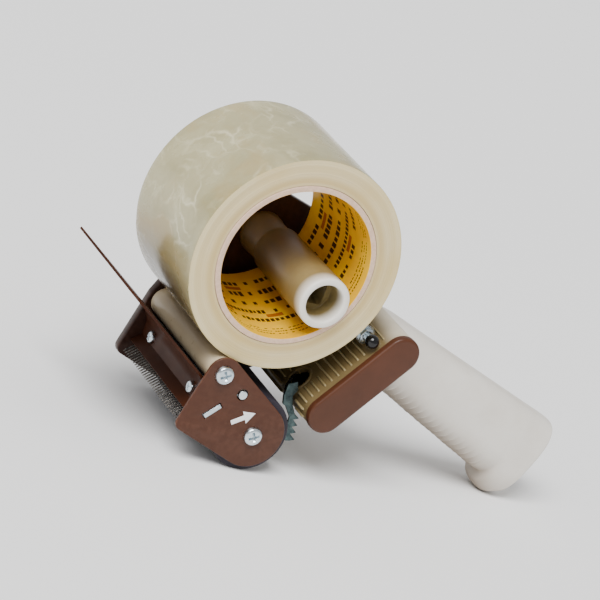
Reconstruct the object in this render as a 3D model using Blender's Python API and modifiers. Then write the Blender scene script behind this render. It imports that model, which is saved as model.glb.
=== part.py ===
"""Hand-held carton-sealing tape dispenser, standing on its applicator roller and handle toe.

Metres, +Z up, +X from the cutting end to the handle, +Y from the open side to the main frame.
Side views are drawn in the XZ plane and given a depth along Y, where y = 0 is the open side
of the tape roll. The origin ends up at the bottom centre of the whole object.
"""
import math

import bmesh
import bpy
from mathutils import Matrix, Vector

MM = 0.001

# ---- clearances ----
GAP = 0.3 * MM
RUNNING_GAP = 0.4 * MM
SCREW_GAP = 0.3 * MM

# ---- tape roll ----
TAPE_WIDTH = 72.0 * MM
CORE_BORE_RADIUS = 38.1 * MM
CORE_WALL = 2.9 * MM
ROLL_RADIUS = 54.3 * MM
FILM_INSET = 0.3 * MM

# ---- side plates ----
PLATE_SPACING = 79.0 * MM
NEAR_PLATE_GAP = 1.5 * MM
NEAR_PLATE_THICKNESS = 1.5 * MM
FRAME_THICKNESS = 1.6 * MM
FRAME_LIP = 4.5 * MM
IDLER_CORNER = 8.6 * MM
FRONT_CORNER = 4.3 * MM
FRONT_CORNER_AT = (-37.4 * MM, -0.4 * MM)
APPLICATOR_CORNER = 16.8 * MM
FRAME_TOP_CORNER = 14.1 * MM
FRAME_TOP_AT = ((42.0 * MM, -10.7 * MM), (14.0 * MM, -2.9 * MM))
FRAME_BEAM_MARGIN = 2.0 * MM

# ---- rollers and their shafts ----
APPLICATOR_RADIUS = 19.7 * MM
APPLICATOR_TYRE = 4.0 * MM
APPLICATOR_SHAFT = 3.5 * MM
APPLICATOR_RIM = 3.2 * MM
APPLICATOR_WEB = 5.0 * MM
APPLICATOR_HUB_WALL = 2.6 * MM
IDLER_RADIUS = 7.3 * MM
IDLER_SHAFT = 3.0 * MM
IDLER_AT = (-27.3 * MM, 27.7 * MM)
ROLLER_END_GAP = 0.6 * MM
ROLL_LEAN = math.radians(14.57)

# ---- hub that the roll hangs on ----
TUBE_RADIUS = 13.1 * MM
TUBE_MOUTH_RADIUS = 9.2 * MM
TUBE_MOUTH_DEPTH = 14.0 * MM
TUBE_INNER_RADIUS = 6.2 * MM
TUBE_INNER_DEPTH = 14.0 * MM
TUBE_FLOOR = 4.0 * MM
TUBE_BACK_RADIUS = 9.5 * MM
TUBE_REACH = 4.0 * MM
TUBE_LENGTH = 60.0 * MM
TUBE_EDGE = 0.8 * MM
TUBE_DIRECTION = math.radians(-35.0)
COLLAR_RADIUS = 11.4 * MM
HUB_BOLT_RADIUS = 3.0 * MM
HUB_NUT_RADIUS = 5.4 * MM
HUB_NUT_HEIGHT = 4.0 * MM
HUB_HEAD_RADIUS = 6.2 * MM
HUB_HEAD_HEIGHT = 3.6 * MM

# ---- screws ----
SCREW_HEAD_RADIUS = 4.7 * MM
SCREW_HEAD_HEIGHT = 2.3 * MM
SCREW_RADIUS = 1.75 * MM
SCREW_LENGTH = 9.0 * MM
CROSS_SPAN = 4.6 * MM
CROSS_WIDTH = 1.0 * MM
CROSS_DEPTH = 1.1 * MM

# ---- ties between the plates ----
TIE_ROD_AT = (-13.5 * MM, 19.4 * MM)
TIE_ROD_RADIUS = 2.3 * MM
TIE_ROD_PROUD = 0.6 * MM
TIE_STRIP_AT = (-25.5 * MM, 8.3 * MM)
TIE_STRIP_ANGLE = math.radians(48)
TIE_STRIP_WIDTH = 9.4 * MM
TIE_STRIP_THICKNESS = 2.4 * MM

# ---- cutter and wiper ----
SHEET = 1.2 * MM
WIPER_FACE_X = -33.0 * MM
WIPER_FACE_Z = (8.8 * MM, 16.5 * MM)
WIPER_ROOT = (-36.7 * MM, 23.3 * MM)
WIPER_FOOT = (-37.2 * MM, 4.5 * MM)
WIPER_TIP = (-85.9 * MM, 56.0 * MM)
WIPER_MARGIN = 1.5 * MM
WIPER_CORNER = 7.0 * MM
BLADE_THICKNESS = 0.8 * MM
BLADE_TOP = 18.0 * MM
BLADE_BEND = 7.0 * MM
TOOTH_TIP = (-40.0 * MM, -1.0 * MM)
TOOTH_LENGTH = 7.5 * MM
TOOTH_PITCH = 2.2 * MM
BLADE_MARGIN = 2.5 * MM
HOLDER_THICKNESS = 2.0 * MM
HOLDER_Z = (7.5 * MM, 19.0 * MM)
WIPER_SCREW_Z = 12.4 * MM
WIPER_SCREW_INSET = 12.8 * MM
WIPER_SCREW_HEAD = 3.1 * MM
WIPER_SCREW_HEIGHT = 1.6 * MM
WIPER_SCREW_SHANK = 1.3 * MM
WIPER_SCREW_LENGTH = 6.5 * MM

# ---- body beam and end cap ----
BEAM_CLEARANCE = 14.9 * MM
BEAM_RADIUS = 9.0 * MM
BEAM_ANGLE = math.radians(55.5)
BEAM_BEFORE = 31.9 * MM
BEAM_ROLLER_GAP = 9.5 * MM
BEAM_AFTER = 14.7 * MM
BEAM_WALL = 2.2 * MM
BEAM_FAR_BLOCK = 11.0 * MM
RIB_PITCH = 4.0 * MM
RIB_WIDTH = 0.9 * MM
RIB_HEIGHT = 0.8 * MM
RIB_COUNT = 12
RIB_PAD = (9, 10)
RIB_MARGIN = 4.0 * MM
CAP_RADIUS = 9.4 * MM
CAP_FACE = 3.0 * MM
CAP_RIM = 4.0 * MM
CAP_EDGE = 1.2 * MM
CAP_PLUG = 4.0 * MM
OPENING_RADIUS = 6.3 * MM
OPENING_Y = 23.5 * MM
OPENING_ANGLE = math.radians(138)

# ---- handle ----
GRIP_Y = 37.0 * MM
GRIP_HALF_WIDTH = 15.0 * MM
GRIP_ROOT_HALF_WIDTH = 13.0 * MM
GRIP_WALL = 2.6 * MM
GRIP_SQUARENESS = 2.7
TOE_RADIUS = 9.6 * MM
TOE_FROM_REAR = 99.7 * MM
GRIP_RING = 24
GRIP_SCREW_HEAD = 3.2 * MM
GRIP_SCREW_RADIUS = 1.5 * MM
GRIP_BOSS = 5.0 * MM
BEAM_BOLT_RADIUS = 2.0 * MM
BEAM_BOLT_HEAD = 3.6 * MM
BEAM_BOLT_ALONG = (31.5 * MM, 41.5 * MM)
BEAM_BOLT_DEPTH = 9.0 * MM

# ---- hold-back arm ----
ARM_FROM = (34.675 * MM, 17.124 * MM)
ARM_Y = (9.3 * MM, 10.7 * MM)
ARM_RIGHT = ((19.8, 26.9), (21.7, 22.6), (20.2, 19.4), (22.0, 14.6), (25.0, 10.4))
ARM_TOOTH = (28.4, 8.3)
ARM_TEETH = 4
ARM_PITCH = 3.75 * MM
ARM_LEFT = ((25.5, -4.4), (23.6, 1.3), (22.9, 8.1), (18.4, 13.4), (16.7, 14.0), (15.3, 18.4),
            (15.3, 25.0))
WIRE_RADIUS = 0.8 * MM

# ---- tension adjuster ----
STUD_ALONG = 39.4 * MM
STUD_HEIGHT = 4.9 * MM
STUD_RADIUS = 1.8 * MM
BALL_RADIUS = 3.5 * MM
BALL_Y = 3.0 * MM
NUT_RADIUS = 3.9 * MM
NUT_HEIGHT = 2.8 * MM
BRACKET_Y = 11.4 * MM
BRACKET_THICKNESS = 2.0 * MM
STUD_TAIL = 16.0 * MM

ARC_STEPS = 7
ROLL_STEPS = 64
TYRE_STEPS = 48
ROUND_STEPS = 32
SMALL_STEPS = 16
WELD = 0.00001

COLOURS = {
    "brown_paint": ((0.15, 0.060, 0.033), 0.38, 0.0),
    "brown_plastic": ((0.16, 0.070, 0.038), 0.42, 0.0),
    "ivory_plastic": ((0.80, 0.76, 0.66), 0.40, 0.0),
    "olive_plastic": ((0.42, 0.35, 0.20), 0.45, 0.0),
    "roller_plastic": ((0.72, 0.64, 0.46), 0.42, 0.0),
    "grey_rubber": ((0.055, 0.052, 0.060), 0.75, 0.0),
    "black_plastic": ((0.02, 0.02, 0.022), 0.25, 0.0),
    "zinc": ((0.62, 0.68, 0.72), 0.28, 1.0),
    "blade_steel": ((0.55, 0.55, 0.56), 0.25, 1.0),
    "black_wire": ((0.03, 0.03, 0.03), 0.35, 1.0),
    "cardboard": ((0.80, 0.56, 0.16), 0.70, 0.0),
    "tape_film": ((0.72, 0.66, 0.46), 0.18, 0.0),
}


# ---------------------------------------------------------------- drawing helpers

def turn(angle, length=1.0):
    """A step in the side view at an angle from +X towards +Z."""
    return Vector((math.cos(angle) * length, math.sin(angle) * length))


def tangent_angle(first, second):
    """Direction of the left normal of the line that touches two signed circles."""
    (x1, z1, r1), (x2, z2, r2) = first, second
    along = Vector((x2 - x1, z2 - z1))
    heading = math.atan2(along.y, along.x)
    return heading + math.acos((r2 - r1) / along.length)


def arc(circle, start, end, steps):
    """Points on a signed circle between two left-normal angles, going its own way round."""
    x, z, radius = circle
    sweep = (end - start) % (2 * math.pi) if radius > 0 else -((start - end) % (2 * math.pi))
    points = []
    for step in range(steps + 1):
        angle = start + sweep * step / steps
        points.append(Vector((x, z)) - turn(angle, radius))
    return points


def belt(circles, steps=ARC_STEPS):
    """A closed outline round circles (x, z, radius) given anticlockwise."""
    count = len(circles)
    leave = [tangent_angle(circles[i], circles[(i + 1) % count]) for i in range(count)]
    points = []
    for i, circle in enumerate(circles):
        points += arc(circle, leave[i - 1], leave[i], steps)
    return points


def bent_sheet(points, thickness):
    """Outline of a sheet that follows a line of points, with mitred bends."""
    points = [Vector(p) for p in points]
    left, right = [], []
    for i, point in enumerate(points):
        before = (point - points[i - 1]).normalized() if i else None
        after = (points[i + 1] - point).normalized() if i + 1 < len(points) else None
        one, two = before or after, after or before
        normal_one = Vector((-one.y, one.x))
        normal_two = Vector((-two.y, two.x))
        middle = (normal_one + normal_two).normalized()
        reach = thickness / 2 / middle.dot(normal_one)
        left.append(point + middle * reach)
        right.append(point - middle * reach)
    return right + left[::-1]


def circle_outline(x, z, radius, steps=SMALL_STEPS):
    """A full circle as an outline."""
    return [Vector((x, z)) + turn(2 * math.pi * i / steps, radius) for i in range(steps)]


def hexagon(radius):
    """A hexagon of the given corner radius round the origin."""
    return circle_outline(0.0, 0.0, radius, 6)


def rectangle(centre, angle, length, width):
    """A rectangle about a point, turned by an angle."""
    along, across = turn(angle, length / 2), turn(angle + math.pi / 2, width / 2)
    centre = Vector(centre)
    return [centre - along - across, centre + along - across,
            centre + along + across, centre - along + across]


# ---------------------------------------------------------------- scene helpers

def clear_scene():
    for old in list(bpy.data.objects):
        bpy.data.objects.remove(old, do_unlink=True)


def new_collection(name):
    collection = bpy.data.collections.new(name)
    bpy.context.scene.collection.children.link(collection)
    return collection


clear_scene()
PARTS = new_collection("tape_dispenser")
CUTTERS = new_collection("tape_dispenser_cutters")
ROOT = bpy.data.objects.new("tape_dispenser_root", None)
PARTS.objects.link(ROOT)


def material(name):
    """One Principled material per finish."""
    if name in bpy.data.materials:
        return bpy.data.materials[name]
    colour, roughness, metallic = COLOURS[name]
    made = bpy.data.materials.new(name)
    made.use_nodes = True
    shader = made.node_tree.nodes["Principled BSDF"]
    shader.inputs["Base Color"].default_value = (*colour, 1.0)
    shader.inputs["Roughness"].default_value = roughness
    shader.inputs["Metallic"].default_value = metallic
    made.diffuse_color = (*colour, 1.0)
    return made


def add_part(name, mesh, finish, location=(0, 0, 0), smooth=35):
    """Link a mesh as a named part under the root."""
    made = bpy.data.objects.new(name, mesh)
    made.location = location
    made.parent = ROOT
    mesh.materials.clear()
    mesh.materials.append(material(finish))
    mesh.shade_smooth()
    mesh.set_sharp_from_angle(angle=math.radians(smooth))
    PARTS.objects.link(made)
    return made


def prism_mesh(name, outline, low, high):
    """A flat outline filled and given a thickness along its own Z."""
    curve = bpy.data.curves.new(name, "CURVE")
    curve.dimensions = "2D"
    curve.fill_mode = "BOTH"
    curve.extrude = (high - low) / 2
    spline = curve.splines.new("POLY")
    spline.points.add(len(outline) - 1)
    for point, (x, z) in zip(spline.points, outline):
        point.co = (x, z, 0.0, 1.0)
    spline.use_cyclic_u = True
    flat = bpy.data.objects.new(name + "_outline", curve)
    CUTTERS.objects.link(flat)
    graph = bpy.context.evaluated_depsgraph_get()
    mesh = bpy.data.meshes.new_from_object(flat.evaluated_get(graph))
    bpy.data.objects.remove(flat, do_unlink=True)
    mesh.transform(Matrix.Translation((0, 0, (high + low) / 2)))
    tidy_mesh(mesh)
    mesh.name = name
    return mesh


def tidy_mesh(mesh):
    """Weld loose caps and point every face outwards."""
    edit = bmesh.new()
    edit.from_mesh(mesh)
    bmesh.ops.remove_doubles(edit, verts=edit.verts, dist=WELD)
    bmesh.ops.recalc_face_normals(edit, faces=edit.faces)
    edit.to_mesh(mesh)
    edit.free()


def slab_mesh(name, outline, y_near, y_far):
    """An outline in the side view with a depth along Y."""
    mesh = prism_mesh(name, outline, -y_far, -y_near)
    mesh.transform(Matrix.Rotation(math.pi / 2, 4, "X"))
    return mesh


def slab(name, outline, y_near, y_far, finish, origin=(0, 0, 0)):
    mesh = slab_mesh(name, outline, y_near, y_far)
    mesh.transform(Matrix.Translation(-Vector(origin)))
    return add_part(name, mesh, finish, origin)


def stack_mesh(name, layers):
    """A loft through outlines with equal point counts, each at its own y."""
    edit = bmesh.new()
    loops = [[edit.verts.new((x, y, z)) for x, z in outline] for outline, y in layers]
    for near, far in zip(loops, loops[1:]):
        for i in range(len(near)):
            j = (i + 1) % len(near)
            edit.faces.new((near[i], near[j], far[j], far[i]))
    edit.faces.new(loops[0][::-1])
    edit.faces.new(loops[-1])
    mesh = bpy.data.meshes.new(name)
    edit.to_mesh(mesh)
    edit.free()
    tidy_mesh(mesh)
    return mesh


def turned(name, profile, start, direction, finish, steps=ROUND_STEPS, closed=False, smooth=35):
    """A turned piece: (radius, depth) pairs along its outer side, with depth from start."""
    mesh = bpy.data.meshes.new(name)
    points = [(radius, 0.0, depth) for radius, depth in reversed(profile)]
    edges = [(i, i + 1) for i in range(len(points) - 1)]
    if closed:
        edges.append((len(points) - 1, 0))
    mesh.from_pydata(points, edges, [])
    made = add_part(name, mesh, finish, start, smooth)
    made.rotation_euler = Vector(direction).to_track_quat("Z", "X").to_euler()
    screw = made.modifiers.new("turn", "SCREW")
    screw.axis = "Z"
    screw.steps = steps
    screw.render_steps = steps
    screw.use_merge_vertices = True
    screw.merge_threshold = WELD
    screw.use_smooth_shade = True
    weld = made.modifiers.new("weld", "WELD")
    weld.merge_threshold = WELD
    return made


def as_cutter(made):
    """Move an object to the cutters, where the build leaves it out."""
    for collection in list(made.users_collection):
        collection.objects.unlink(made)
    CUTTERS.objects.link(made)
    made.hide_render = True
    made.display_type = "WIRE"
    return made


def cut(piece, cutter, operation="DIFFERENCE"):
    """Cut a piece with a cutter object, or join the cutter to it."""
    as_cutter(cutter)
    boolean = piece.modifiers.new(cutter.name, "BOOLEAN")
    boolean.operation = operation
    boolean.solver = "EXACT"
    boolean.object = cutter
    return piece


def hole(piece, tag, x, z, radius, y_near, y_far):
    """A round hole along Y."""
    outline = circle_outline(x, z, radius)
    return cut(piece, slab(f"{piece.name}_{tag}", outline, y_near, y_far, "zinc"))


Y_AXIS = Vector((0, 1, 0))
THROUGH = 2 * MM

# ---------------------------------------------------------------- places that pieces share

Y_PLATE_INNER = -NEAR_PLATE_GAP
Y_PLATE_OUTER = Y_PLATE_INNER - NEAR_PLATE_THICKNESS
Y_FRAME_INNER = Y_PLATE_INNER + PLATE_SPACING
Y_FRAME_OUTER = Y_FRAME_INNER + FRAME_THICKNESS
Y_FRAME_LIP = Y_FRAME_INNER + FRAME_LIP

APPLICATOR = Vector((0.0, APPLICATOR_RADIUS))
IDLER = APPLICATOR + Vector(IDLER_AT)
ROLL = IDLER + (ROLL_RADIUS + IDLER_RADIUS + RUNNING_GAP) * turn(math.pi / 2 - ROLL_LEAN)
HUB = ROLL + (CORE_BORE_RADIUS - TUBE_RADIUS - RUNNING_GAP) * turn(TUBE_DIRECTION)
BEAM_ALONG = turn(BEAM_ANGLE)
BEAM_UP = turn(BEAM_ANGLE + math.pi / 2)
BEAM_FOOT = ROLL - (ROLL_RADIUS + BEAM_CLEARANCE + BEAM_RADIUS) * BEAM_UP


def beam_slide(front):
    """How far the beam moves along itself so that its cap clears the applicator roller."""
    reach = front - APPLICATOR
    clear = APPLICATOR_RADIUS + max(CAP_RADIUS, BEAM_RADIUS) + BEAM_ROLLER_GAP
    if reach.length >= clear:
        return 0.0
    ahead = reach.dot(BEAM_ALONG)
    return math.sqrt(ahead ** 2 + clear ** 2 - reach.length_squared) - ahead


BEAM_FOOT = BEAM_FOOT + beam_slide(BEAM_FOOT - BEAM_BEFORE * BEAM_ALONG) * BEAM_ALONG
BEAM_FRONT = BEAM_FOOT - BEAM_BEFORE * BEAM_ALONG
BEAM_REAR = BEAM_FOOT + BEAM_AFTER * BEAM_ALONG
BEAM_REACH = BEAM_FRONT - APPLICATOR
ARM_TURN = math.atan2(BEAM_REACH.y, BEAM_REACH.x) - math.atan2(ARM_FROM[1], ARM_FROM[0])
ARM_PUSH = BEAM_REACH.length - math.hypot(*ARM_FROM)
TIE_ROD = APPLICATOR + Vector(TIE_ROD_AT)
TIE_STRIP = APPLICATOR + Vector(TIE_STRIP_AT)


def at(offset):
    """A point given from the applicator axis."""
    return APPLICATOR + Vector(offset)


def by_beam(x, z):
    """A point in mm given with the beam's front at ARM_FROM, carried round the roller with it."""
    angle = math.atan2(z, x) + ARM_TURN
    return APPLICATOR + turn(angle, math.hypot(x, z) * MM) + BEAM_REACH.normalized() * ARM_PUSH


def beam_point(along, up):
    """A point given along the beam from its front centre, and up from its middle line."""
    return BEAM_FRONT + along * BEAM_ALONG + up * BEAM_UP


def stadium(radius):
    """The beam's long round-ended section at a given radius."""
    return belt([(*BEAM_FRONT, radius), (*BEAM_REAR, radius)], ARC_STEPS)


def nose_circles():
    """The three corners that both side plates share at the cutting end."""
    corner = at(FRONT_CORNER_AT)
    return ((*IDLER, IDLER_CORNER), (*corner, FRONT_CORNER), (*APPLICATOR, APPLICATOR_CORNER))


def frame_outline(inset=0.0):
    """The main frame's outline: the nose, the beam's ends and the top behind the hub."""
    beam_corner = BEAM_RADIUS + FRAME_BEAM_MARGIN
    circles = [(*BEAM_FRONT, beam_corner), (*BEAM_REAR, beam_corner)]
    circles += [(*(ROLL + Vector(place)), FRAME_TOP_CORNER) for place in FRAME_TOP_AT]
    circles += nose_circles()
    return belt([(x, z, radius - inset) for x, z, radius in circles])


# ---------------------------------------------------------------- screws

def cross_recess(screw, start, direction, span=CROSS_SPAN, width=CROSS_WIDTH):
    """Cut a cross recess into the start of a turned screw."""
    long, short = span / 2, width / 2
    quarter = [(long, -short), (long, short), (short, short)]
    outline = []
    for step in range(4):
        spin = Matrix.Rotation(step * math.pi / 2, 2)
        outline += [spin @ Vector(point) for point in quarter]
    mesh = prism_mesh(screw.name + "_cross", outline, -CROSS_DEPTH, CROSS_DEPTH)
    recess = add_part(screw.name + "_cross", mesh, "zinc", start)
    recess.rotation_euler = Vector(direction).to_track_quat("Z", "X").to_euler()
    return cut(screw, recess)


def pan_screw(name, start, direction, length=SCREW_LENGTH, head=SCREW_HEAD_RADIUS,
              shank=SCREW_RADIUS, height=SCREW_HEAD_HEIGHT, recess=True):
    """A pan-head cross-recess screw whose head top is at start."""
    profile = [(0.0, 0.0), (head * 0.55, 0.0), (head * 0.85, height * 0.22),
               (head, height * 0.62), (head, height), (shank, height),
               (shank, height + length - shank / 2), (shank / 2, height + length),
               (0.0, height + length)]
    screw = turned(name, profile, start, direction, "zinc", SMALL_STEPS)
    if recess:
        cross_recess(screw, start, direction, head * 0.98, head * 0.22)
    return screw


def plate_screws(name, centre, shaft_radius):
    """A shaft between the plates with a screw into each tapped end."""
    near = Y_PLATE_INNER + GAP
    far = Y_FRAME_INNER - GAP
    tapped = SCREW_RADIUS + SCREW_GAP
    depth = SCREW_LENGTH + 1 * MM
    profile = [(tapped, depth), (tapped, 0.0), (shaft_radius, 0.0), (shaft_radius, far - near),
               (tapped, far - near), (tapped, far - near - depth), (0.0, far - near - depth)]
    profile = [(0.0, depth)] + profile
    start = (centre.x, near, centre.y)
    shaft = turned(f"{name}_shaft", profile, start, Y_AXIS, "zinc", SMALL_STEPS)
    head_room = GAP + SCREW_HEAD_HEIGHT
    pan_screw(f"{name}_screw_near", (centre.x, Y_PLATE_OUTER - head_room, centre.y), Y_AXIS)
    pan_screw(f"{name}_screw_far", (centre.x, Y_FRAME_OUTER + head_room, centre.y), -Y_AXIS)
    return shaft


# ---------------------------------------------------------------- frame and plates

def slot_cut(piece, y_near, y_far):
    """The slot that an end of the tie strip stands in."""
    outline = rectangle(TIE_STRIP, TIE_STRIP_ANGLE, TIE_STRIP_WIDTH + 2 * GAP,
                        TIE_STRIP_THICKNESS + 2 * GAP)
    cut(piece, slab(f"{piece.name}_slot", outline, y_near, y_far, "zinc"))


def shared_holes(piece, y_near, y_far):
    """The holes that the two side plates share."""
    hole(piece, "idler_hole", *IDLER, SCREW_RADIUS + SCREW_GAP, y_near, y_far)
    hole(piece, "applicator_hole", *APPLICATOR, SCREW_RADIUS + SCREW_GAP, y_near, y_far)
    hole(piece, "rod_hole", *TIE_ROD, TIE_ROD_RADIUS + GAP, y_near, y_far)
    slot_cut(piece, y_near, y_far)


def make_side_frame():
    frame = slab("side_frame", frame_outline(), Y_FRAME_INNER, Y_FRAME_LIP, "brown_paint")
    inner = frame_outline(FRAME_THICKNESS)
    cut(frame, slab("side_frame_pocket", inner, Y_FRAME_OUTER, Y_FRAME_LIP + THROUGH, "zinc"))
    y_near, y_far = Y_FRAME_INNER - THROUGH, Y_FRAME_OUTER + THROUGH
    shared_holes(frame, y_near, y_far)
    hole(frame, "hub_hole", *HUB, HUB_BOLT_RADIUS + GAP, y_near, y_far)
    for index, place in enumerate(frame_screw_places()):
        hole(frame, f"beam_hole_{index}", *place, SCREW_RADIUS + SCREW_GAP, y_near, y_far)


def make_near_plate():
    plate = slab("near_plate", belt(nose_circles()), Y_PLATE_OUTER, Y_PLATE_INNER, "brown_paint")
    shared_holes(plate, Y_PLATE_OUTER - THROUGH, Y_PLATE_INNER + THROUGH)


def make_ties():
    y_near = Y_PLATE_OUTER - TIE_ROD_PROUD
    y_far = Y_FRAME_OUTER + TIE_ROD_PROUD
    edge = TIE_ROD_PROUD / 2
    length = y_far - y_near
    profile = [(0.0, 0.0), (TIE_ROD_RADIUS - edge, 0.0), (TIE_ROD_RADIUS, edge),
               (TIE_ROD_RADIUS, length - edge), (TIE_ROD_RADIUS - edge, length), (0.0, length)]
    start = (TIE_ROD.x, y_near, TIE_ROD.y)
    turned("tie_rod", profile, start, Y_AXIS, "zinc", SMALL_STEPS)
    outline = rectangle(TIE_STRIP, TIE_STRIP_ANGLE, TIE_STRIP_WIDTH, TIE_STRIP_THICKNESS)
    slab("tie_strip", outline, Y_PLATE_OUTER, Y_FRAME_OUTER, "zinc")


# ---------------------------------------------------------------- rollers

def make_idler():
    plate_screws("idler", IDLER, IDLER_SHAFT)
    near = Y_PLATE_INNER + ROLLER_END_GAP
    length = Y_FRAME_INNER - ROLLER_END_GAP - near
    bore = IDLER_SHAFT + RUNNING_GAP
    edge = 0.5 * MM
    profile = [(bore, 0.0), (IDLER_RADIUS - edge, 0.0), (IDLER_RADIUS, edge),
               (IDLER_RADIUS, length - edge), (IDLER_RADIUS - edge, length), (bore, length)]
    start = (IDLER.x, near, IDLER.y)
    turned("idler_roller", profile, start, Y_AXIS, "roller_plastic", ROUND_STEPS, closed=True)


def make_applicator():
    plate_screws("applicator", APPLICATOR, APPLICATOR_SHAFT)
    near = Y_PLATE_INNER + 2 * ROLLER_END_GAP
    length = Y_FRAME_INNER - 2 * ROLLER_END_GAP - near
    start = (APPLICATOR.x, near, APPLICATOR.y)
    bore = APPLICATOR_SHAFT + RUNNING_GAP
    hub = bore + APPLICATOR_HUB_WALL
    outer = APPLICATOR_RADIUS - APPLICATOR_TYRE - GAP
    rim = outer - APPLICATOR_RIM
    web_near = (length - APPLICATOR_WEB) / 2
    web_far = web_near + APPLICATOR_WEB
    profile = [(bore, 0.0), (hub, 0.0), (hub, web_near), (rim, web_near), (rim, 0.0),
               (outer, 0.0), (outer, length), (rim, length), (rim, web_far), (hub, web_far),
               (hub, length), (bore, length)]
    turned("applicator_core", profile, start, Y_AXIS, "black_plastic", ROUND_STEPS, closed=True)
    inner = APPLICATOR_RADIUS - APPLICATOR_TYRE
    edge = 0.8 * MM
    profile = [(inner, 0.0), (APPLICATOR_RADIUS - edge, 0.0), (APPLICATOR_RADIUS, edge),
               (APPLICATOR_RADIUS, length - edge), (APPLICATOR_RADIUS - edge, length),
               (inner, length)]
    turned("applicator_tyre", profile, start, Y_AXIS, "grey_rubber", TYRE_STEPS, closed=True)


# ---------------------------------------------------------------- hub and tape

def make_hub():
    near = -TUBE_REACH
    mouth = TUBE_MOUTH_DEPTH
    inner = mouth + TUBE_INNER_DEPTH
    floor = inner + TUBE_FLOOR
    bore = HUB_BOLT_RADIUS + RUNNING_GAP
    profile = [(bore, inner), (TUBE_INNER_RADIUS, inner), (TUBE_INNER_RADIUS, mouth),
               (TUBE_MOUTH_RADIUS, mouth), (TUBE_MOUTH_RADIUS, TUBE_EDGE),
               (TUBE_MOUTH_RADIUS + TUBE_EDGE, 0.0), (TUBE_RADIUS - TUBE_EDGE, 0.0),
               (TUBE_RADIUS, TUBE_EDGE), (TUBE_RADIUS, TUBE_LENGTH),
               (TUBE_BACK_RADIUS, TUBE_LENGTH), (TUBE_BACK_RADIUS, floor), (bore, floor)]
    start = (HUB.x, near, HUB.y)
    turned("core_tube", profile, start, Y_AXIS, "ivory_plastic", ROUND_STEPS, closed=True)
    collar_near = near + TUBE_LENGTH + RUNNING_GAP
    collar_length = Y_FRAME_INNER - GAP - collar_near
    profile = [(bore, 0.0), (COLLAR_RADIUS, 0.0), (COLLAR_RADIUS, collar_length),
               (bore, collar_length)]
    start = (HUB.x, collar_near, HUB.y)
    turned("hub_collar", profile, start, Y_AXIS, "ivory_plastic", ROUND_STEPS, closed=True)
    nut_far = near + inner - RUNNING_GAP
    bolt_near = nut_far - HUB_NUT_HEIGHT - 1 * MM
    seat = Y_FRAME_OUTER + GAP
    length = seat - bolt_near
    profile = [(0.0, 0.0), (HUB_BOLT_RADIUS - edge_of(HUB_BOLT_RADIUS), 0.0),
               (HUB_BOLT_RADIUS, edge_of(HUB_BOLT_RADIUS)), (HUB_BOLT_RADIUS, length),
               (HUB_HEAD_RADIUS, length), (HUB_HEAD_RADIUS, length + HUB_HEAD_HEIGHT * 0.6),
               (HUB_HEAD_RADIUS * 0.7, length + HUB_HEAD_HEIGHT), (0.0, length + HUB_HEAD_HEIGHT)]
    turned("hub_bolt", profile, (HUB.x, bolt_near, HUB.y), Y_AXIS, "zinc", SMALL_STEPS)
    nut("hub_nut", HUB, HUB_NUT_RADIUS, HUB_BOLT_RADIUS, nut_far - HUB_NUT_HEIGHT, nut_far)


def edge_of(radius):
    """A small edge break in proportion to a shaft."""
    return radius * 0.15


def nut(name, centre, corner_radius, shaft_radius, y_near, y_far):
    """A hexagon nut with its axis along Y."""
    outline = [Vector(centre) + point for point in hexagon(corner_radius)]
    made = slab(name, outline, y_near, y_far, "zinc")
    return hole(made, "thread", *centre, shaft_radius + GAP, y_near - THROUGH, y_far + THROUGH)


def make_tape():
    start = (ROLL.x, 0.0, ROLL.y)
    core_outer = CORE_BORE_RADIUS + CORE_WALL
    profile = [(CORE_BORE_RADIUS, 0.0), (core_outer, 0.0), (core_outer, TAPE_WIDTH),
               (CORE_BORE_RADIUS, TAPE_WIDTH)]
    turned("tape_core", profile, start, Y_AXIS, "cardboard", ROLL_STEPS, closed=True)
    inner = core_outer + GAP
    near, far = FILM_INSET, TAPE_WIDTH - FILM_INSET
    profile = [(inner, near), (ROLL_RADIUS, near), (ROLL_RADIUS, far), (inner, far)]
    turned("tape_roll", profile, start, Y_AXIS, "tape_film", ROLL_STEPS, closed=True)


# ---------------------------------------------------------------- cutter and wiper

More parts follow.
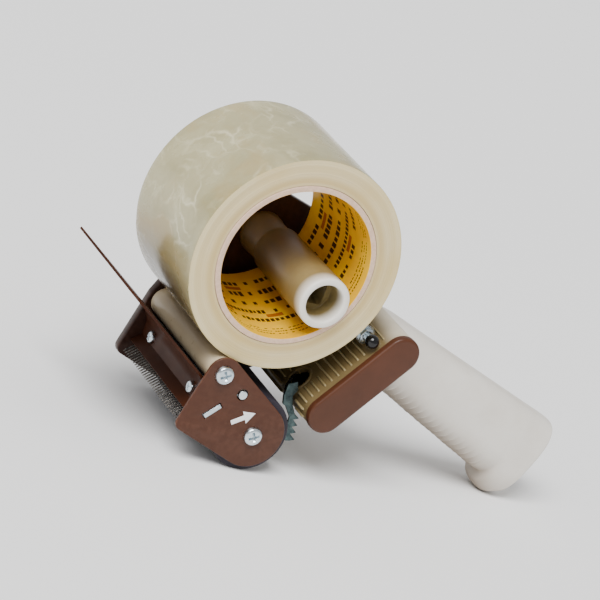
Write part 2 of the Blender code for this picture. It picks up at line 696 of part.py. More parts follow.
def make_cutter():
    face = APPLICATOR.x + WIPER_FACE_X
    y_low = Y_PLATE_INNER + WIPER_MARGIN
    y_high = Y_FRAME_INNER - WIPER_MARGIN
    bottom, top = (APPLICATOR.y + z for z in WIPER_FACE_Z)
    middle = face + SHEET / 2
    line = [at(WIPER_FOOT), (middle, bottom), (middle, top), at(WIPER_ROOT), at(WIPER_TIP)]
    wiper = slab("wiper", bent_sheet(line, SHEET), y_low, y_high, "brown_plastic")
    round_wiper_tip(wiper, y_low, y_high)
    blade_x = middle + SHEET / 2 + GAP + BLADE_THICKNESS / 2
    make_blade(blade_x)
    holder_x = blade_x + BLADE_THICKNESS / 2 + GAP + HOLDER_THICKNESS / 2
    low, high = (APPLICATOR.y + z for z in HOLDER_Z)
    outline = rectangle((holder_x, (low + high) / 2), 0.0, HOLDER_THICKNESS, high - low)
    holder = slab("blade_holder", outline, Y_PLATE_INNER + GAP, Y_FRAME_INNER - GAP, "zinc")
    z = APPLICATOR.y + WIPER_SCREW_Z
    inset = WIPER_SCREW_INSET
    places = {"near": Y_PLATE_INNER + inset, "far": Y_FRAME_INNER - inset}
    head_top = face - GAP - WIPER_SCREW_HEIGHT
    for side, y in places.items():
        start = Vector((head_top, y, z))
        pan_screw(f"wiper_screw_{side}", start, (1, 0, 0), WIPER_SCREW_LENGTH,
                  WIPER_SCREW_HEAD, WIPER_SCREW_SHANK, WIPER_SCREW_HEIGHT)
        for piece in (wiper, bpy.data.objects["blade"], holder):
            profile = rod_profile(WIPER_SCREW_SHANK + SCREW_GAP, 2 * WIPER_SCREW_LENGTH)
            drill = turned(f"{piece.name}_drill_{side}", profile, start, (1, 0, 0), "zinc",
                           SMALL_STEPS)
            cut(piece, drill)


def rod_profile(radius, length):
    """A plain cylinder's profile."""
    return [(0.0, 0.0), (radius, 0.0), (radius, length), (0.0, length)]


def round_wiper_tip(wiper, y_low, y_high):
    """Take the two corners off the wiper's free edge."""
    root, tip = at(WIPER_ROOT), at(WIPER_TIP)
    along = (tip - root).normalized()
    across = Vector((-along.y, along.x))
    for side, y, inward in (("near", y_low, 1), ("far", y_high, -1)):
        corner = [(0, 0)]
        for step in range(7):
            angle = math.pi / 2 * step / 6
            corner.append((1 - math.sin(angle), 1 - math.cos(angle)))
        edit = bmesh.new()
        loops = []
        for lift in (-SHEET * 2, SHEET * 2):
            loop = []
            for back, in_y in corner:
                back = back * WIPER_CORNER if (back, in_y) != (0, 0) else -SHEET
                depth = in_y * WIPER_CORNER if loop else -SHEET
                place = tip - along * back + across * lift
                loop.append(edit.verts.new((place.x, y + inward * depth, place.y)))
            loops.append(loop)
        for i in range(len(corner)):
            j = (i + 1) % len(corner)
            edit.faces.new((loops[0][i], loops[0][j], loops[1][j], loops[1][i]))
        edit.faces.new(loops[0][::-1])
        edit.faces.new(loops[1])
        mesh = bpy.data.meshes.new(f"wiper_corner_{side}")
        edit.to_mesh(mesh)
        edit.free()
        tidy_mesh(mesh)
        cut(wiper, add_part(mesh.name, mesh, "zinc"))


def make_blade(blade_x):
    """A thin comb: a flat strip whose lower edge slants forward into long pointed teeth."""
    tip = at(TOOTH_TIP)
    bend = Vector((blade_x, APPLICATOR.y + BLADE_BEND))
    slant = (tip - bend).normalized()
    root = tip - slant * TOOTH_LENGTH
    top = Vector((blade_x, APPLICATOR.y + BLADE_TOP))
    y_low = Y_PLATE_INNER + BLADE_MARGIN
    y_high = Y_FRAME_INNER - BLADE_MARGIN
    blade = slab("blade", bent_sheet([tip, bend, top], BLADE_THICKNESS), y_low, y_high,
                 "blade_steel")
    count = int((y_high - y_low) / TOOTH_PITCH)
    pitch = (y_high - y_low) / count
    across = Vector((-slant.y, slant.x))
    edit = bmesh.new()
    reach = 2 * BLADE_THICKNESS
    for step in range(count + 1):
        y = y_low + step * pitch
        low = tip + slant * reach
        spread = pitch / 2 * (TOOTH_LENGTH + reach) / TOOTH_LENGTH
        corners = [(root, y), (low, y - spread * 0.94), (low, y + spread * 0.94)]
        loops = []
        for lift in (-reach, reach):
            loops.append([edit.verts.new(((p + across * lift).x, side, (p + across * lift).y))
                          for p, side in corners])
        for i in range(3):
            j = (i + 1) % 3
            edit.faces.new((loops[0][i], loops[0][j], loops[1][j], loops[1][i]))
        edit.faces.new(loops[0][::-1])
        edit.faces.new(loops[1])
    mesh = bpy.data.meshes.new("blade_gaps")
    edit.to_mesh(mesh)
    edit.free()
    tidy_mesh(mesh)
    return cut(blade, add_part("blade_gaps", mesh, "zinc"))


# ---------------------------------------------------------------- beam and cap

def beam_outline():
    """The stadium with raised ribs along its upper side."""
    points = stadium(BEAM_RADIUS)
    upper = []
    for index in range(RIB_COUNT):
        if index in RIB_PAD:
            continue
        centre = (index + 0.5) * RIB_PITCH - 0.3 * RIB_PITCH
        for along, up in ((-1, 0), (-0.6, 1), (0.6, 1), (1, 0)):
            upper.append((centre + along * RIB_WIDTH / 2, BEAM_RADIUS + up * RIB_HEIGHT))
    ribs = [beam_point(along, up) for along, up in reversed(upper)]
    split = next(i for i, p in enumerate(points) if (p - BEAM_REAR).dot(BEAM_ALONG) < -0.5
                 * BEAM_RADIUS and (p - BEAM_REAR).dot(BEAM_UP) > 0)
    return points[:split] + ribs + points[split:]


def frame_screw_places():
    """Where three screws hold the beam to the main frame."""
    return [BEAM_FRONT, (BEAM_FRONT + BEAM_REAR) / 2, BEAM_REAR]


def make_beam():
    near = CAP_RIM - CAP_FACE + GAP
    far = Y_FRAME_INNER - GAP
    beam = slab("body_beam", beam_outline(), near, far, "olive_plastic")
    corner = beam_point((BEAM_BEFORE + BEAM_AFTER) / 2, BEAM_RADIUS - 0.05 * MM + RIB_HEIGHT)
    trim = rectangle(corner, BEAM_ANGLE, BEAM_BEFORE + BEAM_AFTER + 4 * MM, 2 * RIB_HEIGHT)
    cut(beam, slab("body_beam_band", trim, near - THROUGH, near + RIB_MARGIN, "zinc"))
    cavity = stadium(BEAM_RADIUS - BEAM_WALL)
    cut(beam, slab("body_beam_cavity", cavity, near - THROUGH, far - BEAM_FAR_BLOCK, "zinc"))
    mouth = BEAM_FRONT + turn(OPENING_ANGLE + ARM_TURN, BEAM_RADIUS * 0.4)
    direction = turn(OPENING_ANGLE + ARM_TURN)
    opening = turned("body_beam_opening", rod_profile(OPENING_RADIUS, 3 * BEAM_RADIUS),
                     (mouth.x, OPENING_Y, mouth.y), (direction.x, 0, direction.y), "zinc",
                     SMALL_STEPS)
    cut(beam, opening)
    for index, place in enumerate(frame_screw_places()):
        depth = SCREW_LENGTH + 1 * MM
        hole(beam, f"screw_{index}", *place, SCREW_RADIUS + SCREW_GAP, far - depth, far + THROUGH)
        start = (place.x, Y_FRAME_OUTER + GAP + SCREW_HEAD_HEIGHT, place.y)
        pan_screw(f"frame_screw_{index + 1}", start, -Y_AXIS, recess=False)
    for index, along in enumerate(BEAM_BOLT_ALONG):
        cut(beam, beam_bolt_drill(f"body_beam_bolt_{index}", along))


def make_cap():
    plug = BEAM_RADIUS - BEAM_WALL - GAP
    front = -CAP_FACE
    rim = front + CAP_RIM
    layers = [(stadium(CAP_RADIUS - CAP_EDGE), front),
              (stadium(CAP_RADIUS - 0.3 * CAP_EDGE), front + 0.3 * CAP_EDGE),
              (stadium(CAP_RADIUS), front + CAP_EDGE), (stadium(CAP_RADIUS), rim),
              (stadium(plug), rim), (stadium(plug), rim + CAP_PLUG)]
    add_part("end_cap", stack_mesh("end_cap", layers), "brown_plastic")


# ---------------------------------------------------------------- handle

def grip_sections():
    """Back and front points of the grip's sections, from inside the beam to the butt."""
    rear = BEAM_REAR

    def from_rear(x, z):
        return rear + Vector((x * MM, z * MM))

    toe = Vector((rear.x + TOE_FROM_REAR, TOE_RADIUS))

    def toe_point(degrees):
        return toe + turn(math.radians(degrees), TOE_RADIUS)

    return [
        (from_rear(1.0, 8.2), from_rear(-13.0, -18.5)),
        (from_rear(11.2, 6.0), from_rear(-3.0, -23.6)),
        (from_rear(27.2, 0.6), from_rear(14.2, -31.0)),
        (from_rear(57.2, -9.6), from_rear(42.7, -44.0)),
        (from_rear(90.2, -20.7), from_rear(75.0, -58.4)),
        (from_rear(98.2, -23.4), from_rear(84.0, -62.4)),
        (from_rear(105.2, -25.8), toe_point(172)),
        (from_rear(111.7, -27.9), toe_point(215)),
        (from_rear(117.2, -29.7), toe_point(258)),
        (from_rear(121.6, -31.4), toe_point(300)),
    ]


def superellipse_ring(back, front, half_width, shrink, count=GRIP_RING):
    """A ring round one section: wide along Y, deep from back to front."""
    centre = (back + front) / 2
    half_depth = (back - front) / 2
    depth = half_depth.length - shrink
    up = half_depth.normalized()
    power = 2 / GRIP_SQUARENESS
    ring = []
    for step in range(count):
        angle = 2 * math.pi * step / count
        cosine, sine = math.cos(angle), math.sin(angle)
        reach = math.copysign(abs(cosine) ** power, cosine) * depth
        y = math.copysign(abs(sine) ** power, sine) * (half_width - shrink)
        place = centre + up * reach
        ring.append(Vector((place.x, GRIP_Y + y, place.y)))
    return ring


def loft_mesh(name, rings):
    """Skin a row of rings and close both ends."""
    edit = bmesh.new()
    loops = [[edit.verts.new(point) for point in ring] for ring in rings]
    for one, two in zip(loops, loops[1:]):
        for i in range(len(one)):
            j = (i + 1) % len(one)
            edit.faces.new((one[i], one[j], two[j], two[i]))
    edit.faces.new(loops[0][::-1])
    edit.faces.new(loops[-1])
    mesh = bpy.data.meshes.new(name)
    edit.to_mesh(mesh)
    edit.free()
    tidy_mesh(mesh)
    return mesh


def grip_rings(first, last, shrink):
    sections = grip_sections()[first:last]
    rings = []
    for index, (back, front) in enumerate(sections):
        widen = min(1.0, (first + index) / 3)
        width = GRIP_ROOT_HALF_WIDTH + (GRIP_HALF_WIDTH - GRIP_ROOT_HALF_WIDTH) * widen
        rings.append(superellipse_ring(back, front, width, shrink))
    return rings


def butt_rings():
    """Round the grip's end over into a smaller flat face."""
    back, front = grip_sections()[-1]
    outwards = Vector((back - front).normalized().yx)
    outwards.y = -outwards.y
    rings = []
    for shrink, push in ((0.5 * MM, 0.6 * MM), (1.6 * MM, 1.0 * MM)):
        shift = outwards * push
        rings.append(superellipse_ring(back + shift, front + shift, GRIP_HALF_WIDTH, shrink))
    return rings


def grip_screw_places():
    """Three screws down the middle of the grip."""
    sections = grip_sections()
    middles = [(sections[i][0] + sections[i][1]) / 2 for i in (2, 3, 4)]
    return [middles[0], (middles[1] + middles[2]) / 2 - (middles[2] - middles[1]) * 0.35,
            middles[2] + (middles[2] - middles[1]) * 0.45]


def cylinders_mesh(name, places, radius, y_near, y_far, steps=16):
    """Separate cylinders along Y in one mesh."""
    edit = bmesh.new()
    for place in places:
        move = Matrix.Translation((place.x, (y_near + y_far) / 2, place.y))
        spin = Matrix.Rotation(math.pi / 2, 4, "X")
        bmesh.ops.create_cone(edit, cap_ends=True, segments=steps, radius1=radius,
                              radius2=radius, depth=y_far - y_near, matrix=move @ spin)
    mesh = bpy.data.meshes.new(name)
    edit.to_mesh(mesh)
    edit.free()
    return mesh


def beam_bolt_start(along):
    """Head top of a bolt that goes from inside the beam down into the grip."""
    up = -(BEAM_RADIUS - BEAM_WALL) + GAP + BEAM_BOLT_RADIUS * 1.2
    return beam_point(along, up)


def beam_bolt_drill(name, along):
    start = beam_bolt_start(along)
    down = -BEAM_UP
    length = BEAM_WALL + BEAM_BOLT_DEPTH + 5 * MM
    return turned(name, rod_profile(BEAM_BOLT_RADIUS + SCREW_GAP, length),
                  (start.x, GRIP_Y, start.y), (down.x, 0, down.y), "zinc", 16)


def make_grip():
    far_end = len(grip_sections())
    outer = grip_rings(0, far_end, 0.0) + butt_rings()
    inner = grip_rings(2, far_end - 2, GRIP_WALL)
    saddle = stadium(BEAM_RADIUS + GAP)
    places = grip_screw_places()
    y_open = GRIP_Y + GRIP_HALF_WIDTH
    head_seat = GRIP_Y + GRIP_HALF_WIDTH - GRIP_WALL - 2.5 * MM
    shells = {"near": (GRIP_Y - GAP / 2, y_open + THROUGH),
              "far": (GRIP_Y - GRIP_HALF_WIDTH - THROUGH, GRIP_Y + GAP / 2)}
    for side, (low, high) in shells.items():
        name = f"handle_{side}_shell"
        shell = add_part(name, loft_mesh(name, outer), "ivory_plastic")
        cut(shell, add_part(f"{name}_hollow", loft_mesh(f"{name}_hollow", inner), "zinc"))
        bosses = cylinders_mesh(f"{name}_bosses", places, GRIP_BOSS,
                                GRIP_Y - GRIP_HALF_WIDTH + 1.5 * MM,
                                GRIP_Y + GRIP_HALF_WIDTH - 1.5 * MM)
        cut(shell, add_part(f"{name}_bosses", bosses, "zinc"), "UNION")
        shanks = cylinders_mesh(f"{name}_shanks", places, GRIP_SCREW_RADIUS + SCREW_GAP,
                                GRIP_Y - GRIP_HALF_WIDTH + 4 * MM, y_open + THROUGH)
        cut(shell, add_part(f"{name}_shanks", shanks, "zinc"))
        if side == "far":
            seats = cylinders_mesh(f"{name}_seats", places, GRIP_SCREW_HEAD + SCREW_GAP,
                                   head_seat, y_open + THROUGH)
            cut(shell, add_part(f"{name}_seats", seats, "zinc"))
        cut(shell, slab(f"{name}_saddle", saddle, 0.0, Y_FRAME_INNER, "zinc"))
        for index, along in enumerate(BEAM_BOLT_ALONG):
            cut(shell, beam_bolt_drill(f"{name}_bolt_{index}", along))
        size = 0.6
        half = rectangle((ROLL.x, ROLL.y), 0.0, size, size)
        cut(shell, slab(f"{name}_other_half", half, low, high, "zinc"))
    for index, place in enumerate(places):
        start = (place.x, head_seat + GAP + 2.0 * MM, place.y)
        pan_screw(f"grip_screw_{index + 1}", start, -Y_AXIS, 18 * MM, GRIP_SCREW_HEAD,
                  GRIP_SCREW_RADIUS, 2.0 * MM, recess=False)
    for index, along in enumerate(BEAM_BOLT_ALONG):
        start = beam_bolt_start(along)
        down = -BEAM_UP
        height = BEAM_BOLT_RADIUS * 1.2
        profile = [(0.0, 0.0), (BEAM_BOLT_HEAD, 0.0), (BEAM_BOLT_HEAD, height),
                   (BEAM_BOLT_RADIUS, height),
                   (BEAM_BOLT_RADIUS, height + BEAM_WALL + BEAM_BOLT_DEPTH),
                   (0.0, height + BEAM_WALL + BEAM_BOLT_DEPTH)]
        turned(f"beam_bolt_{index + 1}", profile, (start.x, GRIP_Y, start.y),
               (down.x, 0, down.y), "zinc", SMALL_STEPS)


# ---------------------------------------------------------------- hold-back arm

HOLDBACK_PIVOT = BEAM_FRONT + turn(OPENING_ANGLE + ARM_TURN, BEAM_RADIUS * 0.9)


def make_holdback():
    """A plated finger with a saw edge behind the roller, carried by a wire in the beam."""
    origin = (HOLDBACK_PIVOT.x, OPENING_Y, HOLDBACK_PIVOT.y)
    right = [by_beam(x, z) for x, z in ARM_RIGHT]
    teeth = []
    for step in range(ARM_TEETH):
        x = ARM_TOOTH[0] + 0.2 * step * ARM_PITCH / MM
        z = ARM_TOOTH[1] - step * ARM_PITCH / MM
        teeth += [by_beam(x, z), by_beam(x - 2.9, z - 1.15)]
    left = [by_beam(x, z) for x, z in ARM_LEFT]
    slab("holdback_arm", (right + teeth + left)[::-1], *ARM_Y, "zinc", origin)
    make_wire(origin)


def make_wire(origin):
    """The black spring wire from the beam's opening, over and down behind the finger's head."""
    back = ARM_Y[1] + WIRE_RADIUS + GAP
    route = [(34.5, 20.5, 27.0), (31.6, 22.9, 27.0), (27.5, 23.5, 26.5), (23.8, 22.6, 23.0),
             (20.6, 20.4, 19.0), (19.0, 18.8, 15.5)]
    route = [Vector((*by_beam(x, z), y * MM)).xzy for x, z, y in route]
    last = route[-1]
    route += [Vector((last.x - 0.3 * MM, back, last.z - 2.5 * MM)),
              Vector((last.x + 0.2 * MM, back, last.z - 5.5 * MM))]
    points = smooth_route(route, 5)
    curve = bpy.data.curves.new("holdback_spring", "CURVE")
    curve.dimensions = "3D"
    curve.bevel_depth = WIRE_RADIUS
    curve.bevel_resolution = 2
    curve.use_fill_caps = True
    spline = curve.splines.new("POLY")
    spline.points.add(len(points) - 1)
    for point, place in zip(spline.points, points):
        point.co = (*(place - Vector(origin)), 1.0)
    wire = bpy.data.objects.new("holdback_wire", curve)
    CUTTERS.objects.link(wire)
    graph = bpy.context.evaluated_depsgraph_get()
    mesh = bpy.data.meshes.new_from_object(wire.evaluated_get(graph))
    bpy.data.objects.remove(wire, do_unlink=True)
    tidy_mesh(mesh)
    add_part("holdback_spring", mesh, "black_wire", origin, 60)


def smooth_route(points, steps):
    """A Catmull-Rom curve through points."""
    padded = [2 * points[0] - points[1]] + points + [2 * points[-1] - points[-2]]
    smooth = []
    for a, b, c, d in zip(padded, padded[1:], padded[2:], padded[3:]):
        for step in range(steps):
            t = step / steps
            smooth.append(0.5 * (2 * b + (c - a) * t + (2 * a - 5 * b + 4 * c - d) * t * t
                                 + (3 * b - a - 3 * c + d) * t ** 3))
    return smooth + [points[-1]]


# ---------------------------------------------------------------- tension adjuster

def make_adjuster():
    """A stud with a ball knob beside the beam, and a leaf that drags on the roll."""
    centre = beam_point(STUD_ALONG, BEAM_RADIUS + STUD_HEIGHT)
    ear_top = STUD_HEIGHT + 4.2 * MM
    base = beam_point(STUD_ALONG, BEAM_RADIUS + GAP + ear_top / 2)
    outline = rectangle(base, BEAM_ANGLE, 9.0 * MM, ear_top)
    bracket = slab("brake_bracket", outline, BRACKET_Y, BRACKET_Y + BRACKET_THICKNESS, "zinc")
    hole(bracket, "stud_hole", *centre, STUD_RADIUS + GAP, BRACKET_Y - THROUGH,
         BRACKET_Y + BRACKET_THICKNESS + THROUGH)
    stud_near = BALL_Y + BALL_RADIUS * 0.9 + GAP
    stud_far = BRACKET_Y + BRACKET_THICKNESS + STUD_TAIL
    turned("brake_stud", rod_profile(STUD_RADIUS, stud_far - stud_near),
           (centre.x, stud_near, centre.y), Y_AXIS, "zinc", 16)
    seat = BRACKET_Y - GAP
    nut("brake_nut_near", centre, NUT_RADIUS, STUD_RADIUS, seat - NUT_HEIGHT, seat)
    seat = BRACKET_Y + BRACKET_THICKNESS + GAP
    nut("brake_nut_far", centre, NUT_RADIUS, STUD_RADIUS, seat, seat + NUT_HEIGHT)
    profile = [(0.0, -BALL_RADIUS)]
    steps = 10
    flat = math.radians(26)
    for step in range(1, steps + 1):
        angle = (math.pi - flat) * step / steps
        profile.append((BALL_RADIUS * math.sin(angle), -BALL_RADIUS * math.cos(angle)))
    profile.append((0.0, profile[-1][1]))
    turned("ball_knob", profile, (centre.x, BALL_Y, centre.y), Y_AXIS, "black_plastic", 24)
    make_drag_spring(centre, seat + NUT_HEIGHT + GAP)


def make_drag_spring(centre, y_near):
    """A leaf from the stud's tail to just short of the roll's outer face."""
    towards_roll = (ROLL - centre).normalized()
    contact = ROLL - towards_roll * (ROLL_RADIUS + RUNNING_GAP + 0.4 * MM)
    across = Vector((-towards_roll.y, towards_roll.x))
    wrap = STUD_RADIUS + GAP + 0.4 * MM
    ring = []
    for step in range(7):
        angle = math.pi * step / 6
        ring.append(centre - (across * math.cos(angle) + towards_roll * math.sin(angle)) * wrap)
    line = ring + [centre + across * 4.0 * MM + towards_roll * 3.0 * MM,
                   contact + across * 5.0 * MM - towards_roll * 0.8 * MM,
                   contact, contact - across * 4.0 * MM - towards_roll * 1.0 * MM]
    slab("drag_spring", bent_sheet(line, 0.6 * MM), y_near, y_near + 8 * MM, "blade_steel")


# ---------------------------------------------------------------- put it together

def set_origin_at_bottom_centre():
    """Move the root so that the world origin is the bottom centre of every part together."""
    graph = bpy.context.evaluated_depsgraph_get()
    graph.update()
    corners = []
    for made in PARTS.objects:
        if made.type == "MESH":
            shown = made.evaluated_get(graph)
            corners += [made.matrix_world @ vertex.co for vertex in shown.data.vertices]
    low = [min(corner[axis] for corner in corners) for axis in range(3)]
    high = [max(corner[axis] for corner in corners) for axis in range(3)]
    ROOT.location = (-(low[0] + high[0]) / 2, -(low[1] + high[1]) / 2, -low[2])


def main():
    make_side_frame()
    make_near_plate()
    make_ties()
    make_idler()
    make_applicator()
    make_hub()
    make_tape()
    make_cutter()
    make_beam()
    make_cap()
    make_grip()
    make_holdback()
    make_adjuster()
    bpy.context.view_layer.update()
    set_origin_at_bottom_centre()
    bpy.context.view_layer.update()


main()
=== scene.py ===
"""The looks of the tape dispenser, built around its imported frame."""

import math
import random

import bmesh
import bpy
from mathutils import Matrix, Vector


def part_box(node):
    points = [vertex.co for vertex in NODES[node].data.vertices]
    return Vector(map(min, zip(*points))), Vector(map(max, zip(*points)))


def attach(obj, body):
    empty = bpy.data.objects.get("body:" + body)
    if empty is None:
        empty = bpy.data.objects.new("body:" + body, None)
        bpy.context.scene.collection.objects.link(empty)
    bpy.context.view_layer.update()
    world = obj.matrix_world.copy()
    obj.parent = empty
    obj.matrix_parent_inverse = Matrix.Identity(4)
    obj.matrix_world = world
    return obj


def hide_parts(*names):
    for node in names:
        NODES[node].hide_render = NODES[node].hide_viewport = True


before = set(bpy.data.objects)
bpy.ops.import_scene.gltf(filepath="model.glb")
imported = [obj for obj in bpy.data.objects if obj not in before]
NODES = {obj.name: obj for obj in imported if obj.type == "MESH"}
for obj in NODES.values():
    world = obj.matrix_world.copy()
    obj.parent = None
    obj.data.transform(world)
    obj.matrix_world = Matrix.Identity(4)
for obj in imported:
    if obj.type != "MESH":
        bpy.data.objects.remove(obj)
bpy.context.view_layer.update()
MM = 0.001
TAU = 2 * math.pi


# ---------------------------------------- places, all from the frame

def centre_of(node):
    """The side-view centre of a round node, and its near and far faces."""
    low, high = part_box(node)
    return Vector(((low[0] + high[0]) / 2, (low[2] + high[2]) / 2)), low[1], high[1]


def faces_of(node):
    """A node's near and far faces."""
    low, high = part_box(node)
    return low[1], high[1]


ROLL, Y0, ROLL_FAR = centre_of("tape_core")
APPLICATOR, TYRE_NEAR, TYRE_FAR = centre_of("applicator_tyre")
IDLER, IDLER_NEAR, IDLER_FAR = centre_of("idler_roller")
HUB, TUBE_NEAR, TUBE_FAR = centre_of("core_tube")
COLLAR, COLLAR_NEAR, COLLAR_FAR = centre_of("hub_collar")
ROD, ROD_NEAR, ROD_FAR = centre_of("tie_rod")
PLATE_NEAR, PLATE_FAR = faces_of("near_plate")
FRAME_NEAR, FRAME_FAR = faces_of("side_frame")
BEAM_NEAR, BEAM_FAR = faces_of("body_beam")
CAP_NEAR = faces_of("end_cap")[0]
ROLL_R = 54.3 * MM
CORE_R = 38.1 * MM
CORE_OUTER = 41.0 * MM
BEAM_R = 9.0 * MM
BEAM_INNER_R = 6.8 * MM
BEAM_BELOW_ROLL = 14.9 * MM
BEAM_BEFORE = 31.9 * MM
BEAM_AFTER = 14.7 * MM
BEAM_ANGLE = math.radians(55.5)
FRAME_SHEET = 1.6 * MM


def turn(angle, length=1.0):
    """A side-view vector at an angle to X."""
    return Vector((math.cos(angle) * length, math.sin(angle) * length))


ALONG = turn(BEAM_ANGLE)
UP = turn(BEAM_ANGLE + math.pi / 2)
BEAM_FOOT = ROLL - (ROLL_R + BEAM_BELOW_ROLL + BEAM_R) * UP
BEAM_FRONT = BEAM_FOOT - BEAM_BEFORE * ALONG
BEAM_REAR = BEAM_FOOT + BEAM_AFTER * ALONG
BEAM_LENGTH = (BEAM_REAR - BEAM_FRONT).length


def at(x, z):
    """A side-view point in millimetres from the applicator axis."""
    return APPLICATOR + Vector((x, z)) * MM


# ---------------------------------------- outlines

def tangent_angle(first, second):
    """The angle at which a belt leaves the first circle for the second."""
    (x1, z1, r1), (x2, z2, r2) = first, second
    line = Vector((x2 - x1, z2 - z1))
    return math.atan2(line.y, line.x) + math.acos((r2 - r1) / line.length)


def belt(circles, steps=20):
    """A closed outline round circles given anticlockwise."""
    count = len(circles)
    leave = [tangent_angle(circles[i], circles[(i + 1) % count]) for i in range(count)]
    points = []
    for i, (x, z, radius) in enumerate(circles):
        sweep = (leave[i] - leave[i - 1]) % TAU
        for step in range(steps + 1):
            angle = leave[i - 1] + sweep * step / steps
            points.append(Vector((x, z)) - turn(angle, radius))
    return points


def ring_points(centre, radius, steps=40):
    return [centre + turn(TAU * i / steps, radius) for i in range(steps)]


def rectangle(centre, angle, length, width, corner, steps=4):
    """A rectangle with round corners."""
    along, across = turn(angle), turn(angle + math.pi / 2)
    points = []
    for quarter, (sx, sy) in enumerate(((1, 1), (-1, 1), (-1, -1), (1, -1))):
        middle = centre + along * sx * (length / 2 - corner) + across * sy * (width / 2 - corner)
        for step in range(steps + 1):
            points.append(middle + turn(angle + (quarter + step / steps) * math.pi / 2, corner))
    return points


def stadium(radius):
    """The beam's outline at a given radius."""
    return belt([(*BEAM_FRONT, radius), (*BEAM_REAR, radius)], 28)


# ---------------------------------------- mesh helpers

def link(obj):
    bpy.context.scene.collection.objects.link(obj)
    return obj


def shade(mesh, angle=35):
    """Smooth shading, with sharp edges above an angle in degrees."""
    mesh.shade_smooth()
    mesh.set_sharp_from_angle(angle=math.radians(angle))


def finish_mesh(name, edit, weld=0.002 * MM, smooth=35, origin=(0, 0, 0)):
    """Turn an edit mesh into an object with smooth shading and sharp edges by angle."""
    bmesh.ops.remove_doubles(edit, verts=edit.verts, dist=weld)
    bmesh.ops.recalc_face_normals(edit, faces=edit.faces)
    mesh = bpy.data.meshes.new(name)
    edit.to_mesh(mesh)
    edit.free()
    mesh.transform(Matrix.Translation(-Vector(origin)))
    shade(mesh, smooth)
    made = link(bpy.data.objects.new(name, mesh))
    made.location = origin
    return made


def skin(edit, rings, closed=False, caps=False):
    """Faces between rings of equal length."""
    loops = [[edit.verts.new(point) for point in ring] for ring in rings]
    pairs = list(zip(loops, loops[1:]))
    if closed:
        pairs.append((loops[-1], loops[0]))
    for one, two in pairs:
        for i in range(len(one)):
            j = (i + 1) % len(one)
            edit.faces.new((one[i], one[j], two[j], two[i]))
    if caps:
        edit.faces.new(loops[0][::-1])
        edit.faces.new(loops[-1])
    return loops


def squircle(angle, power):
    """The reach of a rounded square: a circle at power 2, squarer above."""
    cosine, sine = abs(math.cos(angle)), abs(math.sin(angle))
    return 1 / (cosine ** power + sine ** power) ** (1 / power)


def lathe(name, centre, profile, steps=96, closed=True, wobble=None, smooth=35):
    """Turn (radius, y[, power]) round an axis along Y. The object's origin is on the axis."""
    edit = bmesh.new()
    rings = []
    for point in profile:
        radius, y = point[0], point[1]
        power = point[2] if len(point) > 2 else 2
        ring = []
        for i in range(steps):
            angle = TAU * i / steps
            reach = radius * squircle(angle, power) if power != 2 else radius
            reach, shift = wobble(reach, y, angle) if wobble else (reach, 0.0)
            place = centre + turn(angle, reach)
            ring.append((place.x, y + shift, place.y))
        rings.append(ring)
    skin(edit, rings, closed=closed, caps=not closed)
    return finish_mesh(name, edit, smooth=smooth, origin=(centre.x, Y0, centre.y))


def fillet(profile, radius, steps=4):
    """Round the corners of a closed (radius, y) profile."""
    points = [Vector(p) for p in profile]
    rounded = []
    count = len(points)
    for i, point in enumerate(points):
        before, after = points[i - 1], points[(i + 1) % count]
        one, two = before - point, after - point
        reach = min(radius, one.length * 0.45, two.length * 0.45)
        a = point + one.normalized() * reach
        b = point + two.normalized() * reach
        for step in range(steps + 1):
            t = step / steps
            rounded.append((1 - t) ** 2 * a + 2 * t * (1 - t) * point + t * t * b)
    return [(p.x, p.y) for p in rounded]


def plate(name, outline, holes, y_near, y_far, edge, segments=3):
    """A flat sheet with holes and softly rounded edges, from a filled curve."""
    curve = bpy.data.curves.new(name, "CURVE")
    curve.dimensions = "2D"
    curve.fill_mode = "BOTH"
    curve.extrude = (y_far - y_near) / 2 - edge
    curve.bevel_depth = edge
    curve.bevel_resolution = segments
    curve.offset = -edge
    for loop in [outline] + holes:
        spline = curve.splines.new("POLY")
        spline.points.add(len(loop) - 1)
        for point, (x, z) in zip(spline.points, loop):
            point.co = (x, z, 0, 1)
        spline.use_cyclic_u = True
    flat = link(bpy.data.objects.new(name + "_outline", curve))
    graph = bpy.context.evaluated_depsgraph_get()
    mesh = bpy.data.meshes.new_from_object(flat.evaluated_get(graph))
    bpy.data.objects.remove(flat, do_unlink=True)
    middle = (y_near + y_far) / 2
    mesh.transform(Matrix.Translation((0, middle, 0)) @ Matrix.Rotation(math.pi / 2, 4, "X"))
    edit = bmesh.new()
    edit.from_mesh(mesh)
    bpy.data.meshes.remove(mesh)
    return finish_mesh(name, edit, weld=0.01 * MM)


def stacked(name, layers):
    """A loft through side-view outlines, each at its own y."""
    edit = bmesh.new()
    rings = [[(x, y, z) for x, z in outline] for outline, y in layers]
    skin(edit, rings, caps=True)
    return finish_mesh(name, edit)


def cut_with(target, cutter):
    """Cut one mesh with another at once, and keep the result."""
    boolean = target.modifiers.new("cut", "BOOLEAN")
    boolean.operation = "DIFFERENCE"
    boolean.solver = "EXACT"
    boolean.object = cutter
    graph = bpy.context.evaluated_depsgraph_get()
    mesh = bpy.data.meshes.new_from_object(target.evaluated_get(graph))
    target.modifiers.remove(boolean)
    old = target.data
    target.data = mesh
    bpy.data.meshes.remove(old)
    bpy.data.objects.remove(cutter, do_unlink=True)


